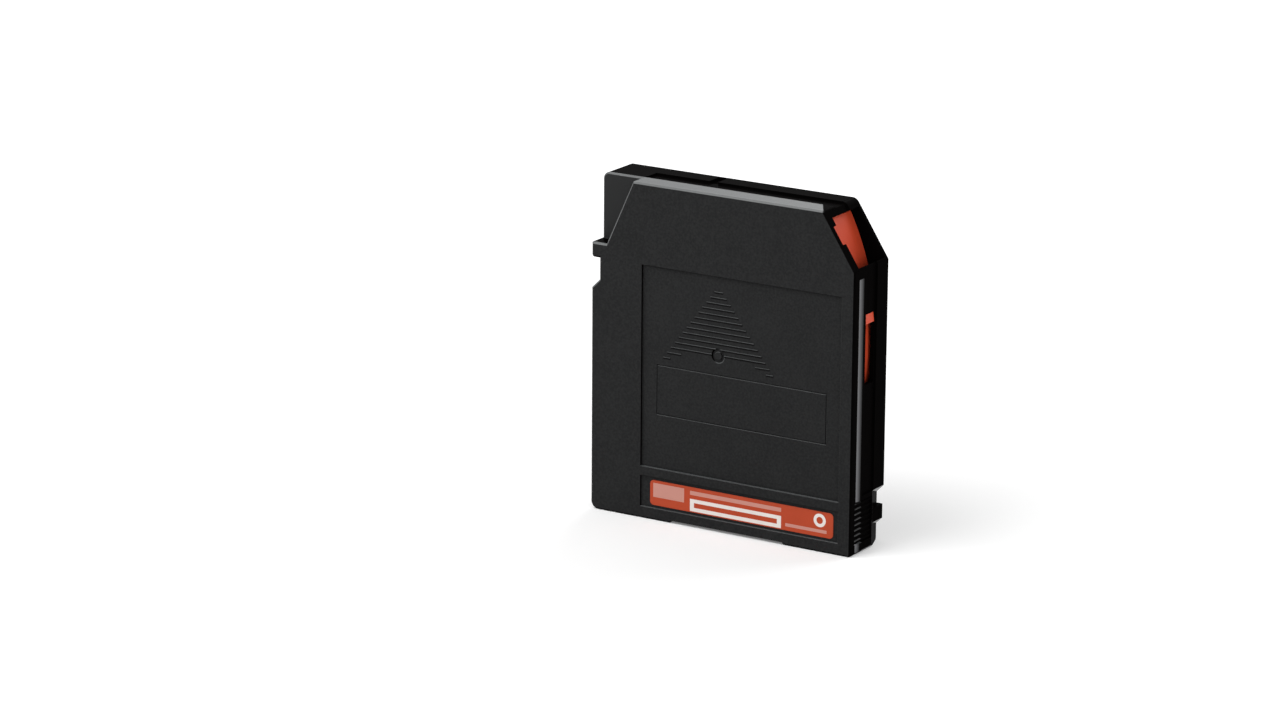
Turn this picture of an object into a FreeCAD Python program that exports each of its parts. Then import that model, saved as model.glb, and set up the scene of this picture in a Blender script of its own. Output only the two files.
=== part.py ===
"""Half-inch data tape cartridge: a flat two-shell case with one reel, a sprung arc-shaped door
in a cut-off corner, and a leader pin behind that door.

Frame, in millimetres: the cartridge stands on its rear (label) edge.  X runs along that edge,
Z goes up to the loading edge, and Y runs through the thickness, with the front shell at -Y.
The origin is the middle of the rear edge's bottom face.
"""
import FreeCAD
import Part
import math
import os

# ---- driving sizes of the case -------------------------------------------------------------
WIDTH = 109.0                # along X
HEIGHT = 125.0               # along Z
THICKNESS = 24.5             # along Y
WALL = 2.2                   # plates and side walls
SEAM_FROM_FRONT = 8.35       # where the two shells meet, behind the front face

# ---- clearances, each used wherever that kind of gap occurs --------------------------------
FIT = 0.25                   # running gap between parts that slide past each other
SEAT_GAP = 0.3               # gap between a resting part and its seat on another body
JOIN = 0.05                  # gap between parts that are fixed to each other
OVERCUT = 5.0                # how far a cutter runs past the face it cuts

FRONT_Y = -THICKNESS / 2
REAR_Y = THICKNESS / 2
FRONT_IN_Y = FRONT_Y + WALL
REAR_IN_Y = REAR_Y - WALL
SEAM_Y = FRONT_Y + SEAM_FROM_FRONT
LEFT_X = -WIDTH / 2
RIGHT_X = WIDTH / 2

# ---- outline of the case, seen from the front ----------------------------------------------
FOOT_CORNER_R = 3.0          # lower left corner
EDGE_R = 1.0                 # the lesser outer corners
TOP_CORNER_R = 2.6           # upper left corner
FACE_EDGE = 0.6              # bevel round the front and rear faces
CHAMFER_ACROSS = 13.3        # door corner, along X
CHAMFER_DOWN = 20.4          # door corner, along Z
CHAMFER_REAR_R = 3.0         # rounding of the rear rim where the door corner begins
TAB_TOP = HEIGHT - 24.6      # top of the left handling tab
TAB_BOTTOM = TAB_TOP - 5.5
NOTCH_DEPTH = 3.3            # handling notch under the tab
NOTCH_BOTTOM = TAB_BOTTOM - 8.1
FOOT_STEP = 1.0              # relief between the two feet
FOOT_STEP_X0 = LEFT_X + 33.6
FOOT_STEP_X1 = RIGHT_X - 27.4

# ---- stepped upper left corner of the front shell ------------------------------------------
STEP_DEPTH = 7.5
STEP_TOP_X = LEFT_X + 17.3   # where the slanted edge meets the loading edge
STEP_LOW_X = LEFT_X + 6.2    # where it meets the tab
STEP_BACK = 1.2              # lining behind the stepped face

# ---- reel and door, which share the space inside the walls ---------------------------------
REEL_X = -1.4
REEL_DROP = 59.4             # its axis, below the loading edge
REEL_Z = HEIGHT - REEL_DROP
REEL_SIDE_GAP = 2.5          # between the flanges and the right wall
REEL_FLOOR_GAP = 14.0        # at least this much between the flanges and the rear edge
REEL_DOOR_GAP = 1.5          # between the flanges and the door's inner face
DOOR_R = 100.0               # outside of the door
DOOR_T = 1.6
DOOR_WALL_GAP = 1.0          # between the door and both walls that it passes behind
CHAMFER_LENGTH = math.hypot(CHAMFER_ACROSS, CHAMFER_DOWN)
CHAMFER_OUT = (CHAMFER_DOWN / CHAMFER_LENGTH, CHAMFER_ACROSS / CHAMFER_LENGTH)
CHAMFER_ALONG = (CHAMFER_OUT[1], -CHAMFER_OUT[0])
DOOR_X = RIGHT_X - WALL - DOOR_WALL_GAP - DOOR_R
DOOR_REACH = DOOR_R + DOOR_WALL_GAP + WALL
DOOR_Z = HEIGHT - (DOOR_REACH - (RIGHT_X - CHAMFER_ACROSS - DOOR_X) * CHAMFER_OUT[0]) / CHAMFER_OUT[1]
FLANGE_R = min(
    WIDTH / 2 - WALL - abs(REEL_X) - REEL_SIDE_GAP,
    REEL_Z - REEL_FLOOR_GAP,
    DOOR_R - DOOR_T - REEL_DOOR_GAP - math.hypot(REEL_X - DOOR_X, REEL_Z - DOOR_Z),
)

# ---- panels, plate outline and arrow on the front face -------------------------------------
PANEL_DEPTH = 0.9
PANEL_X0 = LEFT_X + 21.3
PANEL_X1 = RIGHT_X - 5.1
PANEL_Z0 = 19.7
PANEL_Z1 = HEIGHT - 30.0
LABEL_PANEL_DEPTH = 0.7
LABEL_PANEL_Z0 = 4.5
LABEL_PANEL_Z1 = PANEL_Z0 - 3.5
LABEL_X0 = PANEL_X0 + 4.0
LABEL_X1 = PANEL_X1 - 2.2
LABEL_Z0 = LABEL_PANEL_Z0 + 1.1
LABEL_Z1 = LABEL_PANEL_Z1 - 1.2
LABEL_THICKNESS = 0.2
LABEL_CORNER_R = 1.5
PLATE_X0 = PANEL_X0 + 6.2
PLATE_X1 = PANEL_X1 - 5.9
PLATE_Z0 = PANEL_Z0 + 20.1
PLATE_Z1 = PLATE_Z0 + 18.8
LINE_WIDTH = 0.35            # engraved outline of the plate
LINE_DEPTH = 0.25
DIMPLE_R = 2.6
DIMPLE_DEPTH = 0.5           # below the panel
DIMPLE_POST_R = 1.5          # gate mark that stands in the dimple
ARROW_ROWS = 14
ARROW_PITCH = 2.11
ARROW_TOP = REEL_Z + 23.34   # apex row
ARROW_TIP_HALF = 1.75        # half the width of the apex row
ARROW_GAIN = 1.63            # half width gained by each row
ARROW_FULL_ROWS = 12         # rows above the arrow's tail
ARROW_TAIL_HALF = 15.4       # half the tail's width in its first row
ARROW_TAIL_GAIN = 4.6
ARROW_RIB = 0.6              # rib width
ARROW_RIB_HEIGHT = 0.3

# ---- channel and grip on the outside of the walls ------------------------------------------
CHANNEL_DEPTH = 0.8          # set-back middle band of the walls, behind the seam
CHANNEL_END_Y = 4.0
CHANNEL_FOOT = 1.6           # the band ends this far above the grip
RIM_NOTCH_X = LEFT_X + 41.3  # locating notch in the rear rim of the loading edge
RIM_NOTCH_W = 3.6
RIM_NOTCH_DEPTH = 1.2
GROOVE_DEPTH = 1.0           # handling groove along the front shell's right wall
GROOVE_FROM_FRONT = 3.5
GROOVE_WIDTH = 2.9
GROOVE_TOP_GAP = 3.4         # it ends this far below the door corner
GRIP_Z0 = 3.7
GRIP_Z1 = 19.4
GRIP_DEPTH = 0.9
GRIP_Y0 = -9.3
GRIP_Y1 = 3.2
GRIP_RIBS = 8
GRIP_RIB_W = 1.2             # rib width at its foot
GRIP_RIB_TOP = 0.45          # and at its top
GRIP_RIB_H = 0.6
FLANK_TAPER = 3.1            # how far the rear right flank draws in at the rear face
FLANK_START_Y = 3.3
FLANK_NOTCH_TOP = 21.1
FLANK_TAB_TOP = 13.8
FLANK_TAB_BOTTOM = 8.5
FLANK_TAB_IN = 0.7           # the small tab stays this far inside the wall's face
FLANK_TAB_GAP = 1.0          # between the channel's end and the small tab

# ---- reel ----------------------------------------------------------------------------------
SPINDLE_HOLE_R = 20.6        # opening in the rear shell for the drive's spindle
SEAT_PADS = 6                # raised pads round the opening, which the reel rests on
SEAT_PAD_R0 = 22.0
SEAT_PAD_R1 = 25.0
SEAT_PAD_W = 7.0
SEAT_PAD_HEIGHT = 1.0
FLANGE_T = 1.1
TAPE_WIDTH = 12.65
TAPE_PLAY = 0.2              # each side of the tape, between the flanges
TAPE_RIM = 2.0               # bare rim of the flanges outside the full pack
TAPE_R = FLANGE_R - TAPE_RIM
HUB_R = 22.0
HUB_WALL = 2.5
HUB_FLOOR = 2.0
FLANGE_BORE_R = 18.1
LEADER_T = 0.2
DRIVE_TEETH = 36
DRIVE_TOOTH_R0 = 15.6
DRIVE_TOOTH_R1 = 19.4
DRIVE_TOOTH_H = 0.9
DRIVE_TOOTH_ROOT = 1.5       # tooth width at its root
DRIVE_TOOTH_TIP = 0.7        # and at its tip
CHUCK_R0 = 6.2
CHUCK_R1 = 14.6
CHUCK_T = 0.8

# ---- brake ---------------------------------------------------------------------------------
BRAKE_TEETH = 24
BRAKE_RING_R0 = 12.0
BRAKE_RING_R1 = 15.6
BRAKE_RING_STAND = 2.0       # plain part of the hub's toothed ring
BRAKE_TOOTH_H = 0.8
BRAKE_TOOTH_GAP = 0.3        # between a tooth's tip and the root it faces
BRAKE_TOOTH_ROOT = 1.3
BRAKE_TOOTH_TIP = 0.8
BRAKE_DISC_T = 1.7
BRAKE_POST_HALF = 2.2        # half the side of the square post inside the spring
BRAKE_POST_H = 6.8
VANE_R0 = 6.1
VANE_R1 = 10.2
VANE_W = 1.8
VANE_H = 8.3
VANES = 4
VANE_GUIDE_R0 = 6.6          # pairs of ribs on the front shell that the vanes run between
VANE_GUIDE_R1 = 9.0
VANE_GUIDE_T = 1.2
VANE_GUIDE_END_GAP = 3.8     # between the ribs' ends and the brake's disc
PAD_R = 5.7
PAD_FLANGE_HALF = 6.8        # half the side of its square flange, which turns with the hub
PAD_STAND_OUT = 0.3          # how far the pad stands out behind the chuck plate

# ---- door, its tab and its opening ---------------------------------------------------------
DOOR_TRAVEL = 21.47          # along the door's outside, from shut to open
DOOR_TAB_RISE = 9.4          # tab's lower side, above the height of the door's centre
DOOR_TAB_LENGTH = 3.3        # along the door's outside
DOOR_TAIL = 3.0              # door left below its slot when it is shut
DOOR_FOOT_LENGTH = 1.9       # foot at the tail that the spring pushes on
DOOR_TAB_STAND = 3.0         # how far the tab stands out of the door
DOOR_TAB_Y0 = -3.6
DOOR_TAB_Y1 = 3.2
DOOR_FOOT_IN = 1.0
DOOR_FOOT_HALF_Y = 2.6
SLOT_Y1 = 3.5                # rear side of the side slot
GUIDE_PAIRS = 4              # pairs of ribs that guide the door's edges
GUIDE_LENGTH = 5.0
GUIDE_W = 1.1
GUIDE_OUTER_W = 0.55         # the outer ribs stand in the gap between door and wall
GUIDE_H = 0.9
GUIDE_DROP = 6.2             # the top pair stands this far below the door corner
OPENING_TOP = 3.2            # wall left above the opening, along the chamfer
OPENING_FOOT = 0.95          # and below it
OPENING_RIM = 1.2            # rim of the front plate inside the opening
RELIEF_S0 = 6.4              # gap in that rim, where the pin comes out
RELIEF_S1 = 13.7
RELIEF_DEPTH = 0.8           # how far the gap thins the front plate
DOOR_SWING_DEG = math.degrees(DOOR_TRAVEL / DOOR_R)
DOOR_TOP_DEG = math.degrees(math.asin((HEIGHT - WALL - DOOR_WALL_GAP - DOOR_Z) / DOOR_R))
DOOR_TAB_DEG0 = math.degrees(math.asin(DOOR_TAB_RISE / DOOR_R))
DOOR_TAB_DEG1 = DOOR_TAB_DEG0 + math.degrees(DOOR_TAB_LENGTH / DOOR_R)
DOOR_TAIL_DEG = DOOR_TAB_DEG0 - DOOR_SWING_DEG - math.degrees(DOOR_TAIL / DOOR_R)
DOOR_FOOT_DEG = math.degrees(DOOR_FOOT_LENGTH / DOOR_R)
TOP_GUIDE_DEG = math.degrees(math.asin((HEIGHT - CHAMFER_DOWN - GUIDE_DROP - DOOR_Z) / DOOR_R))

# ---- springs -------------------------------------------------------------------------------
DOOR_SPRING_R = 1.25
DOOR_SPRING_WIRE = 0.4
DOOR_SPRING_TURNS = 8
SPRING_SEAT_X = RIGHT_X - 8.5
SPRING_SEAT_Z = 20.0
SPRING_POST_H = 2.0
SPRING_PEG_HALF = 0.45
SPRING_PEG_H = 3.0
BRAKE_SPRING_R = 4.6
BRAKE_SPRING_WIRE = 0.7
BRAKE_SPRING_TURNS = 4
COIL_STEPS = 8               # straight lengths in each turn of a spring

# ---- leader pin ----------------------------------------------------------------------------
PIN_R = 1.4
PIN_HEAD_R = 2.4
PIN_HEAD_T = 2.0
PIN_DOOR_GAP = 1.0           # between the pin's heads and the door
CLIP_R = 2.3
CLIP_GAP_DEG = 70.0
PIN_SEAT_R0 = 2.7
PIN_SEAT_R1 = 3.9
PIN_SEAT_H = 1.9
PIN_SEAT_ARM = 2.2           # how far the seat's arms reach towards the door
LEAF_T = 0.3
LEAF_W = 1.5
LEAF_ROOT = 6.0              # how far behind the pin the leaf's root is held
LEAF_TIP = 0.8               # how near the pin's middle line the leaf's tip comes
LEAF_BEND_R = 0.6
LEAF_HOLDER = 1.1            # half the side of the post that holds the root
PIN_ORBIT = DOOR_R - DOOR_T - PIN_DOOR_GAP - PIN_HEAD_R
DOOR_MID_S = ((DOOR_X - RIGHT_X + CHAMFER_ACROSS) * CHAMFER_ALONG[0]
              + (DOOR_Z - HEIGHT) * CHAMFER_ALONG[1])
PIN_TURN = (math.atan2(CHAMFER_OUT[1], CHAMFER_OUT[0])
            - math.asin(((RELIEF_S0 + RELIEF_S1) / 2 - DOOR_MID_S) / PIN_ORBIT))
PIN_X = DOOR_X + PIN_ORBIT * math.cos(PIN_TURN)
PIN_Z = DOOR_Z + PIN_ORBIT * math.sin(PIN_TURN)

# ---- rear edge: write-protect switch and memory --------------------------------------------
SWITCH_X = LEFT_X + 10.5     # middle of the switch at rest
SWITCH_Y = 4.2
SWITCH_TRAVEL = 5.0
SWITCH_LENGTH = 11.0
SWITCH_T = 1.9
SWITCH_W = 6.4
NUB_LENGTH = 3.6
NUB_W = 4.6
NUB_RECESS = 0.4             # nub stays this far inside the foot's face
NUB_GROOVES = 3
NUB_GROOVE = 0.5
RAIL_T = 1.2
MEMORY_X = RIGHT_X - 12.2    # middle of the board, which stands at 45 degrees
MEMORY_Z = 9.2
MEMORY_LENGTH = 13.0
MEMORY_W = 15.0
MEMORY_T = 0.8
MEMORY_CHEEK = 1.1           # half the side of the cheeks that hold the board's ends
MEMORY_CHEEK_Y = -2.0        # where the cheeks begin
CHIP_SIDE = 4.0
CHIP_T = 0.7

# ---- case screws and datum holes -----------------------------------------------------------
SCREWS = (
    (LEFT_X + 8.0, HEIGHT - 9.5),
    (RIGHT_X - 25.5, HEIGHT - 7.8),
    (LEFT_X + 7.5, 15.2),
    (RIGHT_X - 16.9, 23.2),
)
SCREW_R = 1.4
SCREW_HEAD_R = 2.7           # countersunk at 45 degrees
SCREW_HEAD_SINK = 0.3
SCREW_SOCKET = 1.4           # radius of the six-sided socket
SCREW_SOCKET_DEPTH = 0.9
SCREW_TIP_GAP = 0.5
SCREW_BITE = 4.5             # how far a screw runs into the front shell's boss
BOSS_HALF = 3.0              # half the side of the square screw bosses
BOSS_END = 5.0               # the front shell's bosses reach this far behind the seam
DATUM_IN = 10.5              # datum holes, in from the side walls
DATUM_DROP = 36.0            # and below the reel's axis
DATUM_R = 2.0
DATUM_BOSS_HALF = 3.2
DATUM_DEPTH = 4.0
DATUM_TIP = 1.2
DATUM_HOLES = ((LEFT_X + DATUM_IN, REEL_Z - DATUM_DROP), (RIGHT_X - DATUM_IN, REEL_Z - DATUM_DROP))

# ---- stations along Y ----------------------------------------------------------------------
BOSS_END_Y = SEAM_Y + BOSS_END
SCREW_TOP_Y = REAR_Y - SCREW_HEAD_SINK
SEAT_Y = REAR_IN_Y - SEAT_PAD_HEIGHT
FLANGE_REAR_Y = SEAT_Y - SEAT_GAP
FLANGE_IN_Y = FLANGE_REAR_Y - FLANGE_T
FRONT_FLANGE_IN_Y = FLANGE_IN_Y - TAPE_WIDTH - 2 * TAPE_PLAY
FRONT_FLANGE_OUT_Y = FRONT_FLANGE_IN_Y - FLANGE_T
HUB_FLOOR_Y = FLANGE_REAR_Y - HUB_FLOOR
RING_TOOTH_ROOT_Y = HUB_FLOOR_Y - BRAKE_RING_STAND
RING_TOOTH_TIP_Y = RING_TOOTH_ROOT_Y - BRAKE_TOOTH_H
BRAKE_FACE_Y = RING_TOOTH_TIP_Y - BRAKE_TOOTH_GAP
BRAKE_TOP_Y = BRAKE_FACE_Y - BRAKE_DISC_T
CHUCK_REAR_Y = FLANGE_REAR_Y + CHUCK_T - JOIN
PAD_FLANGE_Y = HUB_FLOOR_Y - SEAT_GAP
PAD_TOP_Y = BRAKE_FACE_Y + SEAT_GAP
MEMORY_Y1 = REAR_IN_Y - JOIN
MEMORY_Y0 = MEMORY_Y1 - MEMORY_W

V = FreeCAD.Vector
Y_AXIS = V(0, 1, 0)


# ---- small tools ---------------------------------------------------------------------------
def rounded_wire(corners, y):
    """Closed wire in the plane at y, from (x, z, radius) corners."""
    count = len(corners)
    starts = []
    ends = []
    mids = []
    for i, (x, z, radius) in enumerate(corners):
        here = V(x, y, z)
        before = V(corners[i - 1][0], y, corners[i - 1][1]) - here
        after = V(corners[(i + 1) % count][0], y, corners[(i + 1) % count][1]) - here
        if radius <= 0:
            starts.append(here)
            mids.append(None)
            ends.append(here)
            continue
        half = before.getAngle(after) / 2
        run = radius / math.tan(half)
        before.normalize()
        after.normalize()
        middle = before + after
        middle.normalize()
        centre = here + middle * (radius / math.sin(half))
        starts.append(here + before * run)
        mids.append(centre - middle * radius)
        ends.append(here + after * run)
    edges = []
    for i in range(count):
        if mids[i] is not None:
            edges.append(Part.Arc(starts[i], mids[i], ends[i]).toShape())
        follow = starts[(i + 1) % count]
        if (follow - ends[i]).Length > 1e-6:
            edges.append(Part.LineSegment(ends[i], follow).toShape())
    return Part.Wire(edges)


def prism(corners, y0, y1):
    """Solid between y0 and y1 over an outline of (x, z) or (x, z, radius) corners."""
    corners = [(c[0], c[1], c[2] if len(c) > 2 else 0.0) for c in corners]
    face = Part.Face(rounded_wire(corners, y0))
    return face.extrude(V(0, y1 - y0, 0))


def block(x0, x1, y0, y1, z0, z1):
    return Part.makeBox(x1 - x0, y1 - y0, z1 - z0, V(x0, y0, z0))


def rectangle(x0, x1, z0, z1, radius=0.0):
    return [(x0, z0, radius), (x1, z0, radius), (x1, z1, radius), (x0, z1, radius)]


def disc(x, z, radius, y0, y1):
    return Part.makeCylinder(radius, y1 - y0, V(x, y0, z), Y_AXIS)


def tube(x, z, r0, r1, y0, y1):
    return disc(x, z, r1, y0, y1).cut(disc(x, z, r0, y0 - OVERCUT, y1 + OVERCUT))


def arc_bar(r0, r1, deg0, deg1, y0, y1):
    """Bar between two radii about the door's centre, from one angle above +X to another."""
    def at(radius, degrees):
        angle = math.radians(degrees)
        return V(DOOR_X + radius * math.cos(angle), y0, DOOR_Z + radius * math.sin(angle))

    middle = (deg0 + deg1) / 2
    edges = [
        Part.Arc(at(r1, deg0), at(r1, middle), at(r1, deg1)).toShape(),
        Part.LineSegment(at(r1, deg1), at(r0, deg1)).toShape(),
        Part.Arc(at(r0, deg1), at(r0, middle), at(r0, deg0)).toShape(),
        Part.LineSegment(at(r0, deg0), at(r1, deg0)).toShape(),
    ]
    return Part.Face(Part.Wire(edges)).extrude(V(0, y1 - y0, 0))


def turned_y(shape, x, z, degrees):
    """Copy turned about the Y-direction line through (x, z); positive lowers +X."""
    copy = shape.copy()
    copy.rotate(V(x, 0, z), Y_AXIS, degrees)
    return copy


def edges_in_plane(shape, y):
    found = []
    for edge in shape.Edges:
        box = edge.BoundBox
        if abs(box.YMin - y) < 1e-4 and abs(box.YMax - y) < 1e-4:
            found.append(edge)
    return found


def fuse_all(shapes):
    return shapes[0].multiFuse(shapes[1:]) if len(shapes) > 1 else shapes[0]


# ---- outlines ------------------------------------------------------------------------------
def case_outline(chamfer_radius):
    """Outer outline of the case, anticlockwise from the lower left corner."""
    return [
        (LEFT_X, 0, FOOT_CORNER_R),
        (RIGHT_X, 0, EDGE_R),
        (RIGHT_X, HEIGHT - CHAMFER_DOWN, EDGE_R),
        (RIGHT_X - CHAMFER_ACROSS, HEIGHT, chamfer_radius),
        (LEFT_X, HEIGHT, TOP_CORNER_R),
        (LEFT_X, TAB_BOTTOM, EDGE_R),
        (LEFT_X + NOTCH_DEPTH, TAB_BOTTOM, 0),
        (LEFT_X + NOTCH_DEPTH, NOTCH_BOTTOM, 0),
        (LEFT_X, NOTCH_BOTTOM - NOTCH_DEPTH, 0),
    ]


def inner_outline(inset):
    """Outline of the space inside walls of the given thickness."""
    drop = inset * (CHAMFER_LENGTH - CHAMFER_ACROSS) / CHAMFER_DOWN
    pull = inset * (CHAMFER_LENGTH - CHAMFER_DOWN) / CHAMFER_ACROSS
    x0 = LEFT_X + inset
    x1 = RIGHT_X - inset
    notch = NOTCH_DEPTH + inset
    turn = inset * math.tan(math.radians(22.5))
    return [
        (x0, inset, FOOT_CORNER_R - inset if FOOT_CORNER_R > inset else 0),
        (x1, inset, 0),
        (x1, HEIGHT - CHAMFER_DOWN - pull, 0),
        (RIGHT_X - CHAMFER_ACROSS - drop, HEIGHT - inset, 0),
        (x0, HEIGHT - inset, 0),
        (x0, TAB_BOTTOM + inset, 0),
        (LEFT_X + notch, TAB_BOTTOM + inset, 0),
        (LEFT_X + notch, NOTCH_BOTTOM - turn, 0),
        (x0, NOTCH_BOTTOM - NOTCH_DEPTH - turn, 0),
    ]


def step_outline(margin):
    """Region of the stepped upper left corner, grown by a margin towards the middle."""
    rise = HEIGHT - TAB_TOP
    slant = (STEP_TOP_X - STEP_LOW_X) / rise
    side = margin * math.hypot(1, slant)
    low_z = TAB_TOP - margin
    top_z = HEIGHT + OVERCUT
    return [
        (LEFT_X - OVERCUT, low_z),
        (STEP_LOW_X + side - margin * slant, low_z),
        (STEP_TOP_X + side + OVERCUT * slant, top_z),
        (LEFT_X - OVERCUT, top_z),
    ]


def chamfer_point(s, n):
    """Point s down the chamfer from its top corner and n outside its face, in (x, z)."""
    return (RIGHT_X - CHAMFER_ACROSS + CHAMFER_ALONG[0] * s + CHAMFER_OUT[0] * n,
            HEIGHT + CHAMFER_ALONG[1] * s + CHAMFER_OUT[1] * n)


def chamfer_cutter(s0, s1, depth, y0, y1):
    """Block cut into the chamfer, from s0 to s1 down it and to a depth below its face."""
    return prism([chamfer_point(s0, -depth), chamfer_point(s1, -depth),
                  chamfer_point(s1, OVERCUT), chamfer_point(s0, OVERCUT)], y0, y1)


def square_post(x, z, half, y0, y1):
    return block(x - half, x + half, y0, y1, z - half, z + half)


def round_the_reel(shape, count, phase=0.0):
    """Copies of a shape, spaced evenly about the reel's axis."""
    return [turned_y(shape, REEL_X, REEL_Z, (i + phase) * 360 / count) for i in range(count)]


def vane_guides(y0, y1):
    """Pairs of ribs, one each side of every vane of the brake."""
    inner = VANE_W / 2 + FIT
    guides = []
    for side in (-1, 1):
        near, far = sorted((side * inner, side * (inner + VANE_GUIDE_T)))
        guides.append(block(REEL_X + VANE_GUIDE_R0, REEL_X + VANE_GUIDE_R1, y0, y1,
                            REEL_Z + near, REEL_Z + far))
    return round_the_reel(guides[0], VANES) + round_the_reel(guides[1], VANES)


def teeth(count, r0, r1, root_y, height, widths, phase):
    """Ring of straight radial teeth that stand on root_y, with flanks that lean in to the tip."""
    tip_y = root_y + height
    foot_y = root_y - math.copysign(JOIN, height)
    root_half = widths[0] / 2
    tip_half = widths[1] / 2
    section = Part.makePolygon([
        V(REEL_X + r0, foot_y, REEL_Z - root_half),
        V(REEL_X + r0, foot_y, REEL_Z + root_half),
        V(REEL_X + r0, root_y, REEL_Z + root_half),
        V(REEL_X + r0, tip_y, REEL_Z + tip_half),
        V(REEL_X + r0, tip_y, REEL_Z - tip_half),
        V(REEL_X + r0, root_y, REEL_Z - root_half),
        V(REEL_X + r0, foot_y, REEL_Z - root_half),
    ])
    tooth = Part.Face(section).extrude(V(r1 - r0, 0, 0))
    return round_the_reel(tooth, count, phase)


# ---- front shell ---------------------------------------------------------------------------
def arrow_ribs():
    """Ribbed arrow: rows that widen downwards, the last ones parted by the arrow's tail."""
    ribs = []
    for row in range(ARROW_ROWS):
        z = ARROW_TOP - row * ARROW_PITCH
        half = ARROW_TIP_HALF + row * ARROW_GAIN
        if row < ARROW_FULL_ROWS:
            ribs.append(arrow_rib(REEL_X - half, REEL_X + half, z))
            continue
        inner = ARROW_TAIL_HALF + (row - ARROW_FULL_ROWS) * ARROW_TAIL_GAIN
        ribs.append(arrow_rib(REEL_X - half, REEL_X - inner, z))
        ribs.append(arrow_rib(REEL_X + inner, REEL_X + half, z))
    dimple = disc(REEL_X, REEL_Z, DIMPLE_R, FRONT_Y - OVERCUT, FRONT_IN_Y)
    return [rib.cut(dimple) for rib in ribs]


def arrow_rib(x0, x1, z):
    """One rib with a sloping lower side, so that its upper edge is the crisp one."""
    panel_y = FRONT_Y + PANEL_DEPTH
    top = z + ARROW_RIB / 2
    bottom = z - ARROW_RIB / 2
    section = Part.makePolygon([
        V(x0, panel_y + JOIN, bottom),
        V(x0, panel_y + JOIN, top),
        V(x0, panel_y - ARROW_RIB_HEIGHT, top),
        V(x0, panel_y - ARROW_RIB_HEIGHT / 3, bottom),
        V(x0, panel_y + JOIN, bottom),
    ])
    return Part.Face(section).extrude(V(x1 - x0, 0, 0))


def front_details():
    """Cutters for the panels, the engraved plate outline and the dimple."""
    panel_y = FRONT_Y + PANEL_DEPTH
    out_y = FRONT_Y - OVERCUT
    cutters = [
        block(PANEL_X0, PANEL_X1, out_y, panel_y, PANEL_Z0, PANEL_Z1),
        block(PANEL_X0, PANEL_X1, out_y, FRONT_Y + LABEL_PANEL_DEPTH, LABEL_PANEL_Z0, LABEL_PANEL_Z1),
    ]
    line_y = panel_y + LINE_DEPTH
    outer = block(PLATE_X0, PLATE_X1, out_y, line_y, PLATE_Z0, PLATE_Z1)
    inner = block(PLATE_X0 + LINE_WIDTH, PLATE_X1 - LINE_WIDTH, out_y, line_y,
                  PLATE_Z0 + LINE_WIDTH, PLATE_Z1 - LINE_WIDTH)
    cutters.append(outer.cut(inner))
    cutters.append(tube(REEL_X, REEL_Z, DIMPLE_POST_R, DIMPLE_R, out_y, panel_y + DIMPLE_DEPTH))
    return cutters


def side_groove():
    """Handling groove along the right wall: a step in, then a slope back out to the wall."""
    y0 = FRONT_Y + GROOVE_FROM_FRONT
    profile = Part.makePolygon([
        V(RIGHT_X - GROOVE_DEPTH, y0, -OVERCUT),
        V(RIGHT_X + GROOVE_DEPTH, y0, -OVERCUT),
        V(RIGHT_X + GROOVE_DEPTH, y0 + 2 * GROOVE_WIDTH, -OVERCUT),
        V(RIGHT_X - GROOVE_DEPTH, y0, -OVERCUT),
    ])
    top = HEIGHT - CHAMFER_DOWN - GROOVE_TOP_GAP
    return Part.Face(profile).extrude(V(0, 0, top + OVERCUT))


def grip_pocket():
    return block(RIGHT_X - GRIP_DEPTH, RIGHT_X + OVERCUT, GRIP_Y0, GRIP_Y1, GRIP_Z0, GRIP_Z1)


def grip_ribs(y0, y1):
    """Finger ribs that stand on the floor of the grip pocket."""
    ribs = []
    pitch = (GRIP_Z1 - GRIP_Z0) / GRIP_RIBS
    floor = RIGHT_X - GRIP_DEPTH
    for i in range(GRIP_RIBS):
        z = GRIP_Z0 + (i + 0.5) * pitch
        ribs.append(prism([
            (floor - JOIN, z - GRIP_RIB_W / 2),
            (floor, z - GRIP_RIB_W / 2),
            (floor + GRIP_RIB_H, z - GRIP_RIB_TOP / 2),
            (floor + GRIP_RIB_H, z + GRIP_RIB_TOP / 2),
            (floor, z + GRIP_RIB_W / 2),
            (floor - JOIN, z + GRIP_RIB_W / 2),
        ], y0, y1))
    return ribs


def pin_point(side, along):
    """Point beside the pin: side runs down the chamfer, and along runs out towards the door."""
    return (PIN_X + CHAMFER_ALONG[0] * side + CHAMFER_OUT[0] * along,
            PIN_Z + CHAMFER_ALONG[1] * side + CHAMFER_OUT[1] * along)


def pin_band(side0, side1, along0, along1, y0, y1):
    return prism([pin_point(side0, along0), pin_point(side1, along0),
                  pin_point(side1, along1), pin_point(side0, along1)], y0, y1)


def pin_seat(y0, y1):
    """U-shaped seat for one end of the leader pin, open towards the door."""
    ring = tube(PIN_X, PIN_Z, PIN_SEAT_R0, PIN_SEAT_R1, y0, y1)
    reach = 3 * PIN_SEAT_R1
    mouth = pin_band(-PIN_SEAT_R0, PIN_SEAT_R0, 0, reach, y0 - OVERCUT, y1 + OVERCUT)
    front = pin_band(-reach, reach, PIN_SEAT_ARM, reach, y0 - OVERCUT, y1 + OVERCUT)
    return ring.cut(mouth.fuse(front))


def leaf_holder(y0, y1):
    """Slotted post that holds the root of a pin spring."""
    side = -(PIN_SEAT_R1 + JOIN + LEAF_T / 2)
    half = LEAF_HOLDER
    post = pin_band(side - half, side + half, -LEAF_ROOT - half, -LEAF_ROOT + half, y0, y1)
    gap = LEAF_T / 2 + JOIN
    return post.cut(pin_band(side - gap, side + gap, -LEAF_ROOT - JOIN, -LEAF_ROOT + 2 * half,
                             y0 - OVERCUT, y1 + OVERCUT))


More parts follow.
